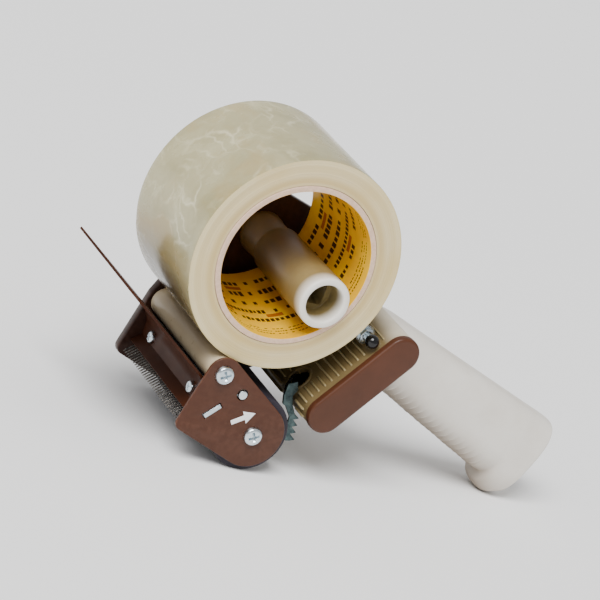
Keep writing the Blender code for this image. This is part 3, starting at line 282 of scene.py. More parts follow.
def soften(obj, width, segments=2):
    """Weld a carried-over solid and round its edges."""
    weld = obj.modifiers.new("weld", "WELD")
    weld.merge_threshold = 0.005 * MM
    bevel = obj.modifiers.new("edges", "BEVEL")
    bevel.width = width
    bevel.segments = segments
    bevel.limit_method = "ANGLE"
    bevel.angle_limit = math.radians(35)
    bevel.harden_normals = False
    smooth = obj.modifiers.new("normals", "WEIGHTED_NORMAL")
    smooth.keep_sharp = False


# ---------------------------------------- material helpers

def srgb(red, green, blue):
    """A linear colour from 0-255 display values."""
    def linear(value):
        value /= 255
        return value / 12.92 if value <= 0.04045 else ((value + 0.055) / 1.055) ** 2.4
    return (linear(red), linear(green), linear(blue), 1.0)


class Nodes:
    """Short calls for building a material's node tree."""

    def __init__(self, name, gloss=0.5, **sockets):
        self.material = bpy.data.materials.new(name)
        self.material.use_nodes = True
        self.tree = self.material.node_tree
        self.shader = self.tree.nodes["Principled BSDF"]
        self.shader.inputs["Specular IOR Level"].default_value = gloss
        for key, value in sockets.items():
            self.shader.inputs[key.replace("_", " ").title()].default_value = value
        self.place = self.add("ShaderNodeTexCoord").outputs["Object"]

    def add(self, kind, **values):
        node = self.tree.nodes.new(kind)
        for key, value in values.items():
            setattr(node, key, value)
        return node

    def feed(self, socket, value):
        if hasattr(value, "is_output"):
            self.tree.links.new(value, socket)
        else:
            socket.default_value = value

    def math(self, operation, a, b=0.0, clamp=False):
        node = self.add("ShaderNodeMath", operation=operation, use_clamp=clamp)
        self.feed(node.inputs[0], a)
        self.feed(node.inputs[1], b)
        return node.outputs[0]

    def axis(self, name, source=None):
        node = self.add("ShaderNodeSeparateXYZ")
        self.feed(node.inputs[0], source or self.place)
        return node.outputs[name]

    def radius(self):
        """The distance from the piece's own axis along Y."""
        squares = [self.math("MULTIPLY", value, value) for value in (self.axis("X"), self.axis("Z"))]
        return self.math("SQRT", self.math("ADD", *squares))

    def normal(self):
        return self.add("ShaderNodeNewGeometry").outputs["Normal"]

    def dot(self, vector, direction):
        node = self.add("ShaderNodeVectorMath", operation="DOT_PRODUCT")
        self.feed(node.inputs[0], vector)
        node.inputs[1].default_value = direction
        return node.outputs["Value"]

    def stretch(self, scale, source=None):
        node = self.add("ShaderNodeMapping")
        node.inputs["Scale"].default_value = scale
        self.feed(node.inputs["Vector"], source or self.place)
        return node.outputs[0]

    def noise(self, scale, detail=3.0, rough=0.5, source=None, output="Fac"):
        node = self.add("ShaderNodeTexNoise")
        node.inputs["Scale"].default_value = scale
        node.inputs["Detail"].default_value = detail
        node.inputs["Roughness"].default_value = rough
        self.feed(node.inputs["Vector"], source or self.place)
        return node.outputs[output]

    def noise_along(self, value, scale, detail):
        """Noise that changes with one value only."""
        node = self.add("ShaderNodeTexNoise", noise_dimensions="1D")
        node.inputs["Scale"].default_value = scale
        node.inputs["Detail"].default_value = detail
        self.feed(node.inputs["W"], value)
        return node.outputs["Fac"]

    def voronoi(self, scale, source):
        node = self.add("ShaderNodeTexVoronoi", feature="DISTANCE_TO_EDGE")
        node.inputs["Scale"].default_value = scale
        self.feed(node.inputs["Vector"], source)
        return node.outputs["Distance"]

    def span(self, value, low, high, to_low=0.0, to_high=1.0):
        node = self.add("ShaderNodeMapRange")
        for key, item in (("Value", value), ("From Min", low), ("From Max", high),
                          ("To Min", to_low), ("To Max", to_high)):
            self.feed(node.inputs[key], item)
        return node.outputs[0]

    def mix(self, factor, one, two):
        node = self.add("ShaderNodeMix", data_type="RGBA")
        self.feed(node.inputs["Factor"], factor)
        self.feed(node.inputs["A"], one)
        self.feed(node.inputs["B"], two)
        return node.outputs["Result"]

    def blend(self, value, one, two, low=0.35, high=0.65):
        """One colour where the value is below low, the other above high."""
        return self.mix(self.span(value, low, high), one, two)

    def bump(self, height, strength, distance):
        node = self.add("ShaderNodeBump")
        node.inputs["Strength"].default_value = strength
        node.inputs["Distance"].default_value = distance
        self.feed(node.inputs["Height"], height)
        return node.outputs[0]

    def edges(self):
        """1 on convex edges, 0 elsewhere, from the pointiness of the surface."""
        node = self.add("ShaderNodeNewGeometry")
        return self.span(node.outputs["Pointiness"], 0.51, 0.58)

    def out(self, **sockets):
        for key, value in sockets.items():
            self.feed(self.shader.inputs[key.replace("_", " ").title()], value)
        return self.material


def give(obj, material, body, replaces=()):
    """Dress a piece and tie it to the frame."""
    obj.data.materials.clear()
    obj.data.materials.append(material)
    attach(obj, body)
    if replaces:
        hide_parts(*replaces)


def dress(node, material):
    """Give a carried-over CAD node a finished material."""
    for held in NODES[node].material_slots:
        held.material = material


# ---------------------------------------- materials

GRAIN_SCALE = 2600.0
GRAIN_DEPTH = 0.08 * MM


def plastic(name, colour, shaded, rough=0.4, grain=0.15, coat=0.0, grain_scale=GRAIN_SCALE, gloss=0.35):
    """Moulded plastic with a fine spark-eroded grain and slow colour drift."""
    n = Nodes(name, gloss, coat_weight=coat, coat_roughness=0.15)
    colour = n.blend(n.noise(38.0, 4.0, 0.6), colour, shaded)
    roughness = n.span(n.noise(90.0, 3.0), 0.3, 0.7, rough - 0.05, rough + 0.07)
    grain_height = n.noise(grain_scale, 2.0, 0.6)
    return n.out(base_color=colour, roughness=roughness, normal=n.bump(grain_height, grain, GRAIN_DEPTH))


def tube_plastic():
    """White plastic at the open mouth, with painted shade and a painted warm reflection of the yellow core
    deepening further inside the roll.
    """
    n = Nodes("tube_plastic", 0.3)
    depth = n.axis("Y")
    drift = n.noise(38.0, 4.0, 0.6)
    mouth = n.blend(drift, srgb(236, 232, 224), srgb(228, 222, 210))
    # inner and deep: painted shade and a painted yellow reflection of the core, laid on by depth along the
    # tube
    inner = n.blend(drift, srgb(142, 125, 82), srgb(128, 110, 68))
    deep = n.blend(drift, srgb(100, 83, 48), srgb(86, 70, 40))
    colour = n.blend(depth, mouth, inner, -3 * MM, 4 * MM)
    colour = n.blend(depth, colour, deep, 10 * MM, 46 * MM)
    grain = n.noise(GRAIN_SCALE, 2.0, 0.6)
    return n.out(base_color=colour, roughness=0.36, normal=n.bump(grain, 0.08, GRAIN_DEPTH))


def grip_plastic():
    """Ivory plastic, with painted shade along the finger side and under the toe."""
    n = Nodes("ivory_plastic", 0.35)
    drift = n.noise(38.0, 4.0, 0.6)
    colour = n.blend(drift, srgb(226, 221, 212), srgb(218, 211, 200))
    # painted shade: darker where the surface faces down and towards the front
    painted_shade_side = n.dot(n.normal(), (-0.62, 0.0, -0.78))
    colour = n.mix(n.span(painted_shade_side, 0.05, 0.98, 0.0, 0.8), colour, srgb(120, 100, 78))
    grain = n.noise(GRAIN_SCALE, 2.0, 0.6)
    return n.out(base_color=colour, roughness=n.span(drift, 0.3, 0.7, 0.38, 0.48),
                 normal=n.bump(grain, 0.12, GRAIN_DEPTH))


def paint(name, colour, shaded, worn):
    """Satin enamel on pressed steel: slight orange peel, lighter worn edges."""
    n = Nodes(name, 0.22, coat_weight=0.08, coat_roughness=0.12)
    base = n.blend(n.noise(55.0, 5.0, 0.6), colour, shaded, 0.3, 0.7)
    edge = n.math("MULTIPLY", n.edges(), n.span(n.noise(420.0, 4.0), 0.35, 0.6), clamp=True)
    base = n.mix(n.math("MULTIPLY", edge, 0.6), base, worn)
    roughness = n.span(n.noise(160.0, 3.0), 0.3, 0.7, 0.30, 0.42)
    peel = n.noise(1100.0, 2.0, 0.5)
    return n.out(base_color=base, roughness=roughness, normal=n.bump(peel, 0.12, 0.1 * MM))


def plated(name, colour, tint, rough=0.22, brushed=(1, 1, 1), scratch=0.1):
    """Zinc or nickel plate with faint cloudy tint and fine scratches."""
    n = Nodes(name, metallic=1.0)
    base = n.blend(n.noise(240.0, 4.0, 0.65), colour, tint)
    lines = n.noise(900.0, 3.0, 0.6, source=n.stretch(brushed))
    roughness = n.span(lines, 0.3, 0.7, rough - 0.06, rough + 0.1)
    return n.out(base_color=base, roughness=roughness, normal=n.bump(lines, scratch, 0.04 * MM))


def rubber(name, colour, dust):
    """Dusty moulded rubber."""
    n = Nodes(name, 0.25)
    patches = n.noise(70.0, 5.0, 0.65)
    base = n.mix(n.span(patches, 0.45, 0.75, 0.0, 0.5), colour, dust)
    roughness = n.span(patches, 0.3, 0.7, 0.5, 0.68)
    grain = n.noise(1800.0, 3.0, 0.7)
    return n.out(base_color=base, roughness=roughness, normal=n.bump(grain, 0.25, 0.1 * MM))


def film_material():
    """A wound roll of clear film: cloudy straw outside, fine rings on its ends."""
    n = Nodes("wound_film", 0.3, coat_weight=0.22, coat_roughness=0.1, subsurface_weight=0.12)
    n.shader.inputs["Subsurface Radius"].default_value = (6 * MM, 5 * MM, 3 * MM)
    end = n.span(n.math("ABSOLUTE", n.axis("Y", n.normal())), 0.4, 0.7)
    # outside: broad clouds, then trapped-air veins, both bent by one swirl
    shift = n.add("ShaderNodeVectorMath", operation="SCALE")
    shift.inputs["Scale"].default_value = 0.035
    n.feed(shift.inputs[0], n.noise(34.0, 4.0, output="Color"))
    warp = n.add("ShaderNodeVectorMath", operation="ADD")
    n.feed(warp.inputs[0], n.place)
    n.feed(warp.inputs[1], shift.outputs[0])
    bent = warp.outputs[0]
    clouds = n.noise(26.0, 5.0, 0.6, source=bent)
    outside = n.blend(clouds, srgb(158, 150, 110), srgb(184, 177, 140))
    warm = n.noise(26.0, 4.0, 0.6, source=n.stretch((1.0, 0.25, 1.0), bent))
    outside = n.mix(n.span(warm, 0.45, 0.7, 0.0, 0.7), outside, srgb(178, 146, 84))
    veins = n.voronoi(82.0, n.stretch((1.0, 0.5, 1.0), bent))
    vein = n.math("MULTIPLY", n.span(veins, 0.0, 0.09, 1.0, 0.0),
                  n.span(n.noise(30.0, 3.0, 0.6), 0.45, 0.62), clamp=True)
    outside = n.mix(n.math("MULTIPLY", vein, 0.62), outside, srgb(226, 218, 184))
    # the ends: fine winding rings, creamier outwards
    radius = n.radius()
    rings = n.noise_along(radius, 2600.0, 4.0)
    bands = n.noise_along(radius, 330.0, 2.0)
    face = n.blend(radius, srgb(196, 170, 116), srgb(218, 202, 154), 41.5 * MM, 53.5 * MM)
    face = n.mix(n.span(bands, 0.35, 0.65, 0.0, 0.45), face, srgb(228, 214, 172))
    face = n.mix(n.span(rings, 0.45, 0.7, 0.0, 0.28), face, srgb(180, 154, 104))
    face = n.mix(n.span(n.noise(30.0, 3.0, 0.5), 0.45, 0.7, 0.0, 0.5), face, srgb(206, 178, 112))
    roughness = n.math("ADD", n.span(clouds, 0.3, 0.7, 0.16, 0.34), n.math("MULTIPLY", end, 0.12))
    height = n.math("ADD", n.math("MULTIPLY", rings, end),
                    n.math("MULTIPLY", n.span(veins, 0.0, 0.2), 0.5))
    return n.out(base_color=n.mix(end, outside, face), roughness=roughness,
                 normal=n.bump(height, 0.25, 0.12 * MM))


# each row of bars inside the core, in millimetres: depth, height, pitch and a seed for its widths
PRINT_ROWS = ((5.5, 0.9, 1.7, 0.0), (8.0, 0.9, 1.3, 3.0), (10.5, 0.9, 2.1, 7.0), (20.0, 3.6, 2.6, 11.0),
              (29.0, 3.8, 2.2, 17.0), (38.5, 4.4, 3.0, 23.0), (49.0, 5.4, 2.6, 31.0), (60.0, 4.4, 2.8, 41.0))
# each row of red blocks: depth, pitch and offset
PRINT_BLOCKS = ((24.6, 27.0, 5.0), (55.0, 31.0, 9.0))


def printed_core_material():
    """Yellow printed paper inside the core: rows of plain dashes and bars, no lettering."""
    n = Nodes("printed_core", 0.2)
    angle = n.math("ARCTAN2", n.axis("Z"), n.axis("X"))
    around = n.math("MULTIPLY", angle, CORE_R / MM)
    depth = n.math("MULTIPLY", n.axis("Y"), 1 / MM)
    ink = 0.0
    for level, height, pitch, seed in PRINT_ROWS:
        cell = n.math("DIVIDE", around, pitch)
        pick = n.add("ShaderNodeTexWhiteNoise", noise_dimensions="1D")
        n.feed(pick.inputs["W"], n.math("ADD", n.math("FLOOR", cell), seed + 0.37))
        chance = pick.outputs["Value"]
        dash = n.math("LESS_THAN", n.math("FRACT", cell), n.span(chance, 0.0, 1.0, 0.55, 0.8))
        offset = n.math("ABSOLUTE", n.math("SUBTRACT", depth, level))
        inside = n.math("LESS_THAN", offset, n.span(chance, 0.0, 1.0, height * 0.3, height * 0.5))
        shown = n.math("GREATER_THAN", chance, 0.2)
        ink = n.math("MAXIMUM", ink, n.math("MULTIPLY", n.math("MULTIPLY", dash, inside), shown))
    blocks = 0.0
    for level, pitch, offset in PRINT_BLOCKS:
        cell = n.math("DIVIDE", n.math("ADD", around, offset), pitch)
        side = n.math("MULTIPLY", n.math("SUBTRACT", n.math("FRACT", cell), 0.5), pitch)
        wide = n.math("LESS_THAN", n.math("ABSOLUTE", side), 4.2)
        tall = n.math("LESS_THAN", n.math("ABSOLUTE", n.math("SUBTRACT", depth, level)), 1.6)
        blocks = n.math("MAXIMUM", blocks, n.math("MULTIPLY", wide, tall))
    colour = n.blend(n.noise(46.0, 4.0, 0.6), srgb(224, 164, 8), srgb(240, 190, 20))
    colour = n.mix(n.math("MULTIPLY", blocks, 0.8), colour, srgb(150, 44, 14))
    colour = n.mix(n.math("MULTIPLY", ink, 0.96), colour, srgb(46, 22, 8))
    kraft = n.blend(n.noise(500.0, 4.0, 0.7), srgb(206, 172, 148), srgb(222, 192, 168))
    inner = n.math("LESS_THAN", n.radius(), CORE_R + 0.2 * MM)
    return n.out(base_color=n.mix(inner, kraft, colour),
                 roughness=n.span(n.noise(300.0), 0.3, 0.7, 0.38, 0.5),
                 normal=n.bump(n.noise(900.0, 3.0), 0.12, 0.1 * MM))


def beam_material():
    """Ivory plastic with painted olive shade and a painted yellow reflection towards the cutting end, under
    the roll.
    """
    n = Nodes("beam_plastic", 0.3)
    travel = n.math("SUBTRACT", n.dot(n.place, (ALONG.x, 0.0, ALONG.y)), BEAM_FRONT.dot(ALONG))
    drift = n.noise(42.0, 4.0, 0.6)
    # the olive colours are painted shade with a painted yellow reflection, for the part under the roll
    olive_painted_shade = n.blend(drift, srgb(104, 88, 56), srgb(120, 102, 68), 0.3, 0.7)
    ivory = n.blend(drift, srgb(206, 194, 170), srgb(220, 212, 194), 0.3, 0.7)
    colour = n.blend(travel, olive_painted_shade, ivory, 43.5 * MM, 56.5 * MM)
    return n.out(base_color=colour, roughness=n.span(n.noise(130.0), 0.3, 0.7, 0.32, 0.44),
                 normal=n.bump(n.noise(2400.0, 2.0), 0.15, GRAIN_DEPTH))


IVORY = grip_plastic()
WHITE = tube_plastic()
CREAM = plastic("idler_plastic", srgb(204, 188, 158), srgb(190, 170, 138), 0.3, 0.06, 0.1)
CAP_BROWN = plastic("cap_plastic", srgb(82, 46, 28), srgb(70, 39, 24), 0.36, 0.22, 0.06, 1800.0, 0.25)
WIPER_BROWN = plastic("wiper_plastic", srgb(62, 31, 15), srgb(50, 24, 12), 0.42, 0.08, 0.0, 2600.0, 0.12)
BLACK = plastic("knob_plastic", srgb(8, 8, 9), srgb(14, 14, 16), 0.14, 0.02, 0.15)
CORE_BLACK = plastic("roller_core_plastic", srgb(34, 32, 36), srgb(48, 45, 50), 0.45, 0.2)
PAINT = paint("brown_enamel", srgb(76, 42, 27), srgb(68, 37, 23), srgb(140, 98, 76))
# the frame's enamel: the near plate's brown darkened as painted shade
PAINT_SHADED = paint("brown_enamel_frame", srgb(50, 28, 20), srgb(40, 21, 15), srgb(96, 66, 52))
ZINC = plated("zinc_plate", srgb(214, 224, 230), srgb(196, 208, 214), 0.24)
ZINC_BLUE = plated("zinc_passivated", srgb(84, 100, 100), srgb(46, 56, 58), 0.3)
STEEL = plated("spring_steel", srgb(128, 124, 118), srgb(84, 80, 76), 0.24, (1, 14, 1), 0.25)
DARK_WIRE = plated("black_wire", srgb(30, 30, 32), srgb(46, 46, 50), 0.25)
RUBBER = rubber("roller_rubber", srgb(42, 38, 46), srgb(66, 62, 72))
FILM = film_material()
PRINT = printed_core_material()
BEAM = beam_material()
# the ribs' lighter plastic is a painted highlight on the beam's ribs
RIB = plastic("rib_plastic", srgb(158, 142, 104), srgb(142, 126, 88), 0.34, 0.1)
WHITE_INK = plastic("white_ink", srgb(244, 244, 244), srgb(236, 236, 238), 0.4, 0.05)


# ---------------------------------------- tape roll, core and hub

FILM_END_ANGLE = math.radians(203)
FILM_STEP = 0.22 * MM


def film_spiral(reach, y, angle):
    """The outer turn steps down by one film end; the ends of the roll are never quite flat."""
    outer = max(0.0, (reach - 50 * MM) / (ROLL_R - 50 * MM))
    around = ((angle - FILM_END_ANGLE) % TAU) / TAU
    reach -= FILM_STEP * around * outer
    ripple = 0.06 * MM * math.sin(3 * angle + reach * 900) + 0.04 * MM * math.sin(7 * angle)
    return reach, ripple * (1 if y < 0 else -1)


def make_roll():
    rng = random.Random(7)
    near, far = Y0 + 0.4 * MM, ROLL_FAR - 0.4 * MM
    inner = CORE_OUTER + 0.25 * MM
    faces = []
    for step in range(31):
        radius = inner + (ROLL_R - 0.5 * MM - inner) * step / 30
        faces.append((radius, rng.uniform(0, 0.14) * MM))
    profile = [(radius, near + depth) for radius, depth in faces]
    profile += [(ROLL_R - 0.12 * MM, near + 0.12 * MM), (ROLL_R, near + 0.5 * MM)]
    for step in range(1, 16):
        y = near + (far - near) * step / 16
        profile.append((ROLL_R - rng.uniform(0, 0.06) * MM, y))
    profile += [(ROLL_R, far - 0.5 * MM), (ROLL_R - 0.12 * MM, far - 0.12 * MM)]
    profile += [(radius, far - depth) for radius, depth in reversed(faces)]
    film = lathe("film_roll", ROLL, profile, 180, wobble=film_spiral, smooth=40)
    give(film, FILM, "tape_roll", ["tape_roll"])
    wall = [(CORE_R, Y0), (CORE_OUTER, Y0), (CORE_OUTER, ROLL_FAR), (CORE_R, ROLL_FAR)]
    core = lathe("paper_core", ROLL, fillet(wall, 0.45 * MM), 144)
    give(core, PRINT, "tape_roll", ["tape_core"])


def make_hub():
    near = TUBE_NEAR
    mouth, deep, floor, end = near + 14 * MM, near + 27.6 * MM, near + 32 * MM, TUBE_FAR
    profile = [(6.1, mouth, 7), (6.0, deep, 7), (3.4, deep), (3.4, floor), (9.5, floor),
               (9.6, end), (12.2, end), (12.5, end - 0.4 * MM), (12.9, near + 22 * MM),
               (13.1, near + 1.6 * MM), (13.0, near + 0.8 * MM), (12.7, near + 0.25 * MM),
               (12.2, near), (10.5, near), (10.0, near + 0.15 * MM), (9.6, near + 0.6 * MM),
               (9.4, near + 1.4 * MM), (9.1, mouth - 0.3 * MM), (8.8, mouth), (6.8, mouth, 5)]
    scaled = [(p[0] * MM, *p[1:]) for p in profile]
    tube = lathe("hub_tube", HUB, scaled, 120, smooth=40)
    give(tube, WHITE, "core_tube", ["core_tube"])
    near, far = COLLAR_NEAR, COLLAR_FAR
    profile = [(3.4, near), (10.4, near), (10.9, near + 0.5 * MM), (11.0, far - 4 * MM),
               (11.4, far - 3.4 * MM), (11.4, far), (3.4, far)]
    scaled = [(radius * MM, y) for radius, y in profile]
    collar = lathe("hub_boss", COLLAR, scaled, 96, smooth=40)
    give(collar, WHITE, "frame", ["hub_collar"])
    for node in ("hub_bolt", "hub_nut"):
        soften(NODES[node], 0.3 * MM)
        dress(node, ZINC)


# ---------------------------------------- rollers

def make_rollers():
    bore, outer = 3.4 * MM, 7.3 * MM
    wall = [(bore, IDLER_NEAR), (outer, IDLER_NEAR), (outer, IDLER_FAR), (bore, IDLER_FAR)]
    idler = lathe("idler_sleeve", IDLER, fillet(wall, 0.6 * MM), 96)
    give(idler, CREAM, "idler_roller", ["idler_roller"])
    inner, outer = 15.7 * MM, 19.7 * MM
    wall = [(inner, TYRE_NEAR), (outer, TYRE_NEAR), (outer, TYRE_FAR), (inner, TYRE_FAR)]
    tyre = lathe("roller_tyre", APPLICATOR, fillet(wall, 0.9 * MM, 5), 128)
    give(tyre, RUBBER, "applicator_roller", ["applicator_tyre"])
    near, far = TYRE_NEAR, TYRE_FAR
    middle = (near + far) / 2
    web = 2.5 * MM
    bore, hub, rim, outer = 3.9 * MM, 6.5 * MM, 12.2 * MM, 15.4 * MM
    wall = [(bore, near), (hub, near), (hub, middle - web), (rim, middle - web), (rim, near),
            (outer, near), (outer, far), (rim, far), (rim, middle + web), (hub, middle + web),
            (hub, far), (bore, far)]
    core = lathe("roller_core", APPLICATOR, fillet(wall, 0.4 * MM, 3), 96)
    give(core, CORE_BLACK, "applicator_roller", ["applicator_core"])


# ---------------------------------------- screws

PLATE_SCREW_R = 4.7 * MM
CROSS_TURN = 0.5


def screw_head(name, node, centre, direction, radius, height):
    """A pan head with a tapered cross recess, standing on a short plain shank."""
    profile = [(0.0002 * MM, height)]
    for step in range(1, 17):
        t = step / 16
        fall = 0.16 * t * t + 0.84 * (1 - (1 - t ** 7) ** 0.5)
        profile.append((radius * (1 - (1 - t) ** 1.3 if t < 1 else 1), height * (1 - fall)))
    profile += [(0.4 * radius, 0.0), (0.4 * radius, -1.2 * MM)]
    edit = bmesh.new()
    skin(edit, [[(*turn(TAU * i / 64, r), z) for i in range(64)] for r, z in profile], caps=True)
    head = finish_mesh(name, edit)
    for angle in (0.0, math.pi / 2):
        cutter = bmesh.new()
        rings = []
        for z, long, wide in ((height + 0.2 * MM, 0.62, 0.15), (height * 0.85, 0.58, 0.13),
                              (height * 0.42, 0.34, 0.09), (height * 0.30, 0.10, 0.03)):
            corners = [(long, wide), (-long, wide), (-long, -wide), (long, -wide)]
            rings.append([(*Vector((x, y)) * radius, z) for x, y in corners])
        skin(cutter, rings, caps=True)
        cutter.transform(Matrix.Rotation(angle, 4, "Z"))
        cut_with(head, finish_mesh(f"{name}_cutter", cutter))
    out = -Vector(direction)
    spin = out.to_track_quat("Z", "X").to_matrix().to_4x4()
    head.data.transform(Matrix.Translation(Vector(centre)) @ spin @ Matrix.Rotation(CROSS_TURN, 4, "Z"))
    shade(head.data)
    give(head, ZINC, "frame", [node])


def make_screws():
    seat = PLATE_NEAR - 0.05 * MM
    for name, place in (("idler", IDLER), ("applicator", APPLICATOR)):
        screw_head(f"{name}_head_near", f"{name}_screw_near", (place.x, seat, place.y), (0, 1, 0),
                   PLATE_SCREW_R, 2.5 * MM)
    seat = FRAME_NEAR + FRAME_SHEET + 0.05 * MM
    far = [("idler_head_far", "idler_screw_far", IDLER),
           ("applicator_head_far", "applicator_screw_far", APPLICATOR),
           ("frame_head_1", "frame_screw_1", BEAM_FRONT),
           ("frame_head_2", "frame_screw_2", (BEAM_FRONT + BEAM_REAR) / 2),
           ("frame_head_3", "frame_screw_3", BEAM_REAR)]
    for name, node, place in far:
        screw_head(name, node, (place.x, seat, place.y), (0, -1, 0), PLATE_SCREW_R, 2.4 * MM)
    for side in ("near", "far"):
        low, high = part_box(f"wiper_screw_{side}")
        centre = (low[0] + 1.8 * MM, (low[1] + high[1]) / 2, (low[2] + high[2]) / 2)
        screw_head(f"wiper_head_{side}", f"wiper_screw_{side}", centre, (1, 0, 0), 3.1 * MM, 1.8 * MM)
    for index in (1, 2, 3):
        node = f"grip_screw_{index}"
        low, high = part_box(node)
        centre = ((low[0] + high[0]) / 2, high[1] - 2.0 * MM, (low[2] + high[2]) / 2)
        screw_head(f"grip_head_{index}", node, centre, (0, -1, 0), 3.2 * MM, 2.0 * MM)
    for node in ("idler_shaft", "applicator_shaft", "beam_bolt_1", "beam_bolt_2"):
        soften(NODES[node], 0.25 * MM)
        dress(node, ZINC)


# ---------------------------------------- plates and ties

def nose(inset=0.0):
    """The circles round the rollers and the cutter, shared by both side plates."""
    return [(*IDLER, 8.6 * MM - inset), (*at(-37.4, -0.4), 4.3 * MM - inset),
            (*APPLICATOR, 16.8 * MM - inset)]


def frame_loop(inset):
    """The main frame's outline: the beam, the roll's lower side and the nose."""
    corner = BEAM_R + 2 * MM - inset
    circles = [(*BEAM_FRONT, corner), (*BEAM_REAR, corner)]
    for x, z in ((42.0, -10.7), (14.0, -2.9)):
        place = ROLL + Vector((x, z)) * MM
        circles.append((*place, 14.1 * MM - inset))
    return belt(circles + nose(inset), 16)


STRIP_ANGLE = math.radians(48)
STRIP = at(-25.5, 8.3)


def make_plates():
    holes = [ring_points(ROD, 2.9 * MM), rectangle(STRIP, STRIP_ANGLE, 10.4 * MM, 3.1 * MM, 0.3 * MM)]
    cheek = plate("near_cheek", belt(nose(), 28), holes, PLATE_NEAR, PLATE_FAR, 0.42 * MM)
    give(cheek, PAINT, "frame", ["near_plate"])
    base, top = FRAME_NEAR, FRAME_FAR
    floor = base + FRAME_SHEET
    layers = [(0.9, base), (0.35, base + 0.12 * MM), (0.08, base + 0.45 * MM), (0.0, base + 1.0 * MM),
              (0.0, top - 0.5 * MM), (0.15, top - 0.12 * MM), (0.5, top), (1.1, top),
              (1.45, top - 0.12 * MM), (1.6, top - 0.5 * MM), (1.6, floor + 0.9 * MM),
              (1.9, floor + 0.3 * MM), (2.5, floor)]
    tray = stacked("main_frame", [(frame_loop(inset * MM), y) for inset, y in layers])
    give(tray, PAINT_SHADED, "frame", ["side_frame"])
    near, far = ROD_NEAR, ROD_FAR
    profile = [(0.2, near), (1.7, near), (2.1, near + 0.1 * MM), (2.3, near + 0.4 * MM),
               (2.3, far - 0.4 * MM), (2.1, far - 0.1 * MM), (1.7, far), (0.2, far)]
    rod = lathe("cross_rod", ROD, [(r * MM, y) for r, y in profile], 48, closed=False)
    give(rod, ZINC, "frame", ["tie_rod"])
    for node in ("tie_strip", "blade_holder"):
        soften(NODES[node], 0.3 * MM)
        dress(node, ZINC)


def make_mark():
    """A plain white feed-direction arrow painted on the near plate."""
    centre = at(-8.4, 8.0)
    angle = math.radians(34)
    along, across = turn(angle), turn(angle + math.pi / 2)
    shape = [(-6.4, -1.25), (0.6, -1.25), (0.6, -3.5), (6.4, 0), (0.6, 3.5), (0.6, 1.25), (-6.4, 1.25)]
    outline = [centre + (along * a + across * b) * MM for a, b in shape]
    arrow = plate("feed_arrow", outline, [], PLATE_NEAR - 0.06 * MM, PLATE_NEAR + 0.2 * MM, 0.02 * MM, 1)
    give(arrow, WHITE_INK, "frame")


# ---------------------------------------- cutter and wiper

TOOTH_PITCH = 2.2 * MM
TOOTH_LENGTH = 7.5 * MM
TOOTH_HALF = 0.62 * MM
BLADE_THICKNESS = 0.7 * MM


def make_cutter():
    """A comb of blade teeth, bent once, with its thickness added by a modifier."""
    low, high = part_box("blade")
    x = high[0] - 0.4 * MM
    bend = Vector((x, APPLICATOR.y + 7.0 * MM))
    tip = at(-40.0, -1.0)
    top = Vector((x, APPLICATOR.y + 18.0 * MM))
    slant = (bend - tip).normalized()
    length = (bend - tip).length
    count = int((high[1] - low[1]) / TOOTH_PITCH)
    pitch = (high[1] - low[1]) / count

    def place(s, y):
        """s runs up the sheet from the tooth tips, round the bend."""
        if s <= length:
            p = tip + slant * s
        else:
            p = bend + (top - bend).normalized() * (s - length)
        return (p.x, y, p.y)

    edit = bmesh.new()
    total = length + (top - bend).length
    rows = [TOOTH_LENGTH, length - 0.9 * MM, length - 0.3 * MM, length + 0.3 * MM, length + 0.9 * MM, total]
    columns = []
    for i in range(count):
        middle = low[1] + (i + 0.5) * pitch
        columns += [middle - TOOTH_HALF, middle + TOOTH_HALF]
    columns = [low[1]] + columns + [high[1]]
    grid = [[edit.verts.new(place(s, y)) for y in columns] for s in rows]
    for one, two in zip(grid, grid[1:]):
        for i in range(len(columns) - 1):
            edit.faces.new((one[i], one[i + 1], two[i + 1], two[i]))
    for i in range(count):
        left, right = grid[0][1 + 2 * i], grid[0][2 + 2 * i]
        middle = low[1] + (i + 0.5) * pitch
        previous = (left, right)
        for s, half in ((TOOTH_LENGTH - 1.2 * MM, 0.42), (TOOTH_LENGTH * 0.4, 0.34),
                        (TOOTH_LENGTH * 0.12, 0.2), (0.0, 0.06)):
            pair = (edit.verts.new(place(s, middle - half * MM)),
                    edit.verts.new(place(s, middle + half * MM)))
            edit.faces.new((previous[0], previous[1], pair[1], pair[0]))
            previous = pair
    comb = finish_mesh("cutter_comb", edit, smooth=30)
    thick = comb.modifiers.new("thickness", "SOLIDIFY")
    thick.thickness = BLADE_THICKNESS
    thick.offset = 0.0
    edge = comb.modifiers.new("edges", "BEVEL")
    edge.width = 0.08 * MM
    edge.segments = 1
    give(comb, STEEL, "frame", ["blade"])
    soften(NODES["wiper"], 0.32 * MM, 3)
    dress("wiper", WIPER_BROWN)


# ---------------------------------------- beam, cap and brake

OPENING_Y = Y0 + 23.5 * MM
OPENING_R = 6.0 * MM
OPENING = turn(math.radians(138))
ACROSS_OPENING = Vector((-OPENING.y, OPENING.x))
RIM_R = 0.85 * MM
RIB_PITCH = 4.0 * MM
RIB_HALF = 0.9 * MM
RIB_HEIGHT = 1.2 * MM
SINK = 0.15 * MM


def surface_point(lateral, radius):
    """Where a line beside the opening's axis meets the beam's outline at a given radius."""
    start = BEAM_FRONT + ACROSS_OPENING * lateral
    low, high = 0.0, 30 * MM
    for _ in range(40):
        middle = (low + high) / 2
        p = start + OPENING * middle
        share = max(0.0, min(BEAM_LENGTH, (p - BEAM_FRONT).dot(ALONG)))
        if (p - (BEAM_FRONT + ALONG * share)).length < radius:
            low = middle
        else:
            high = middle
    return start + OPENING * low


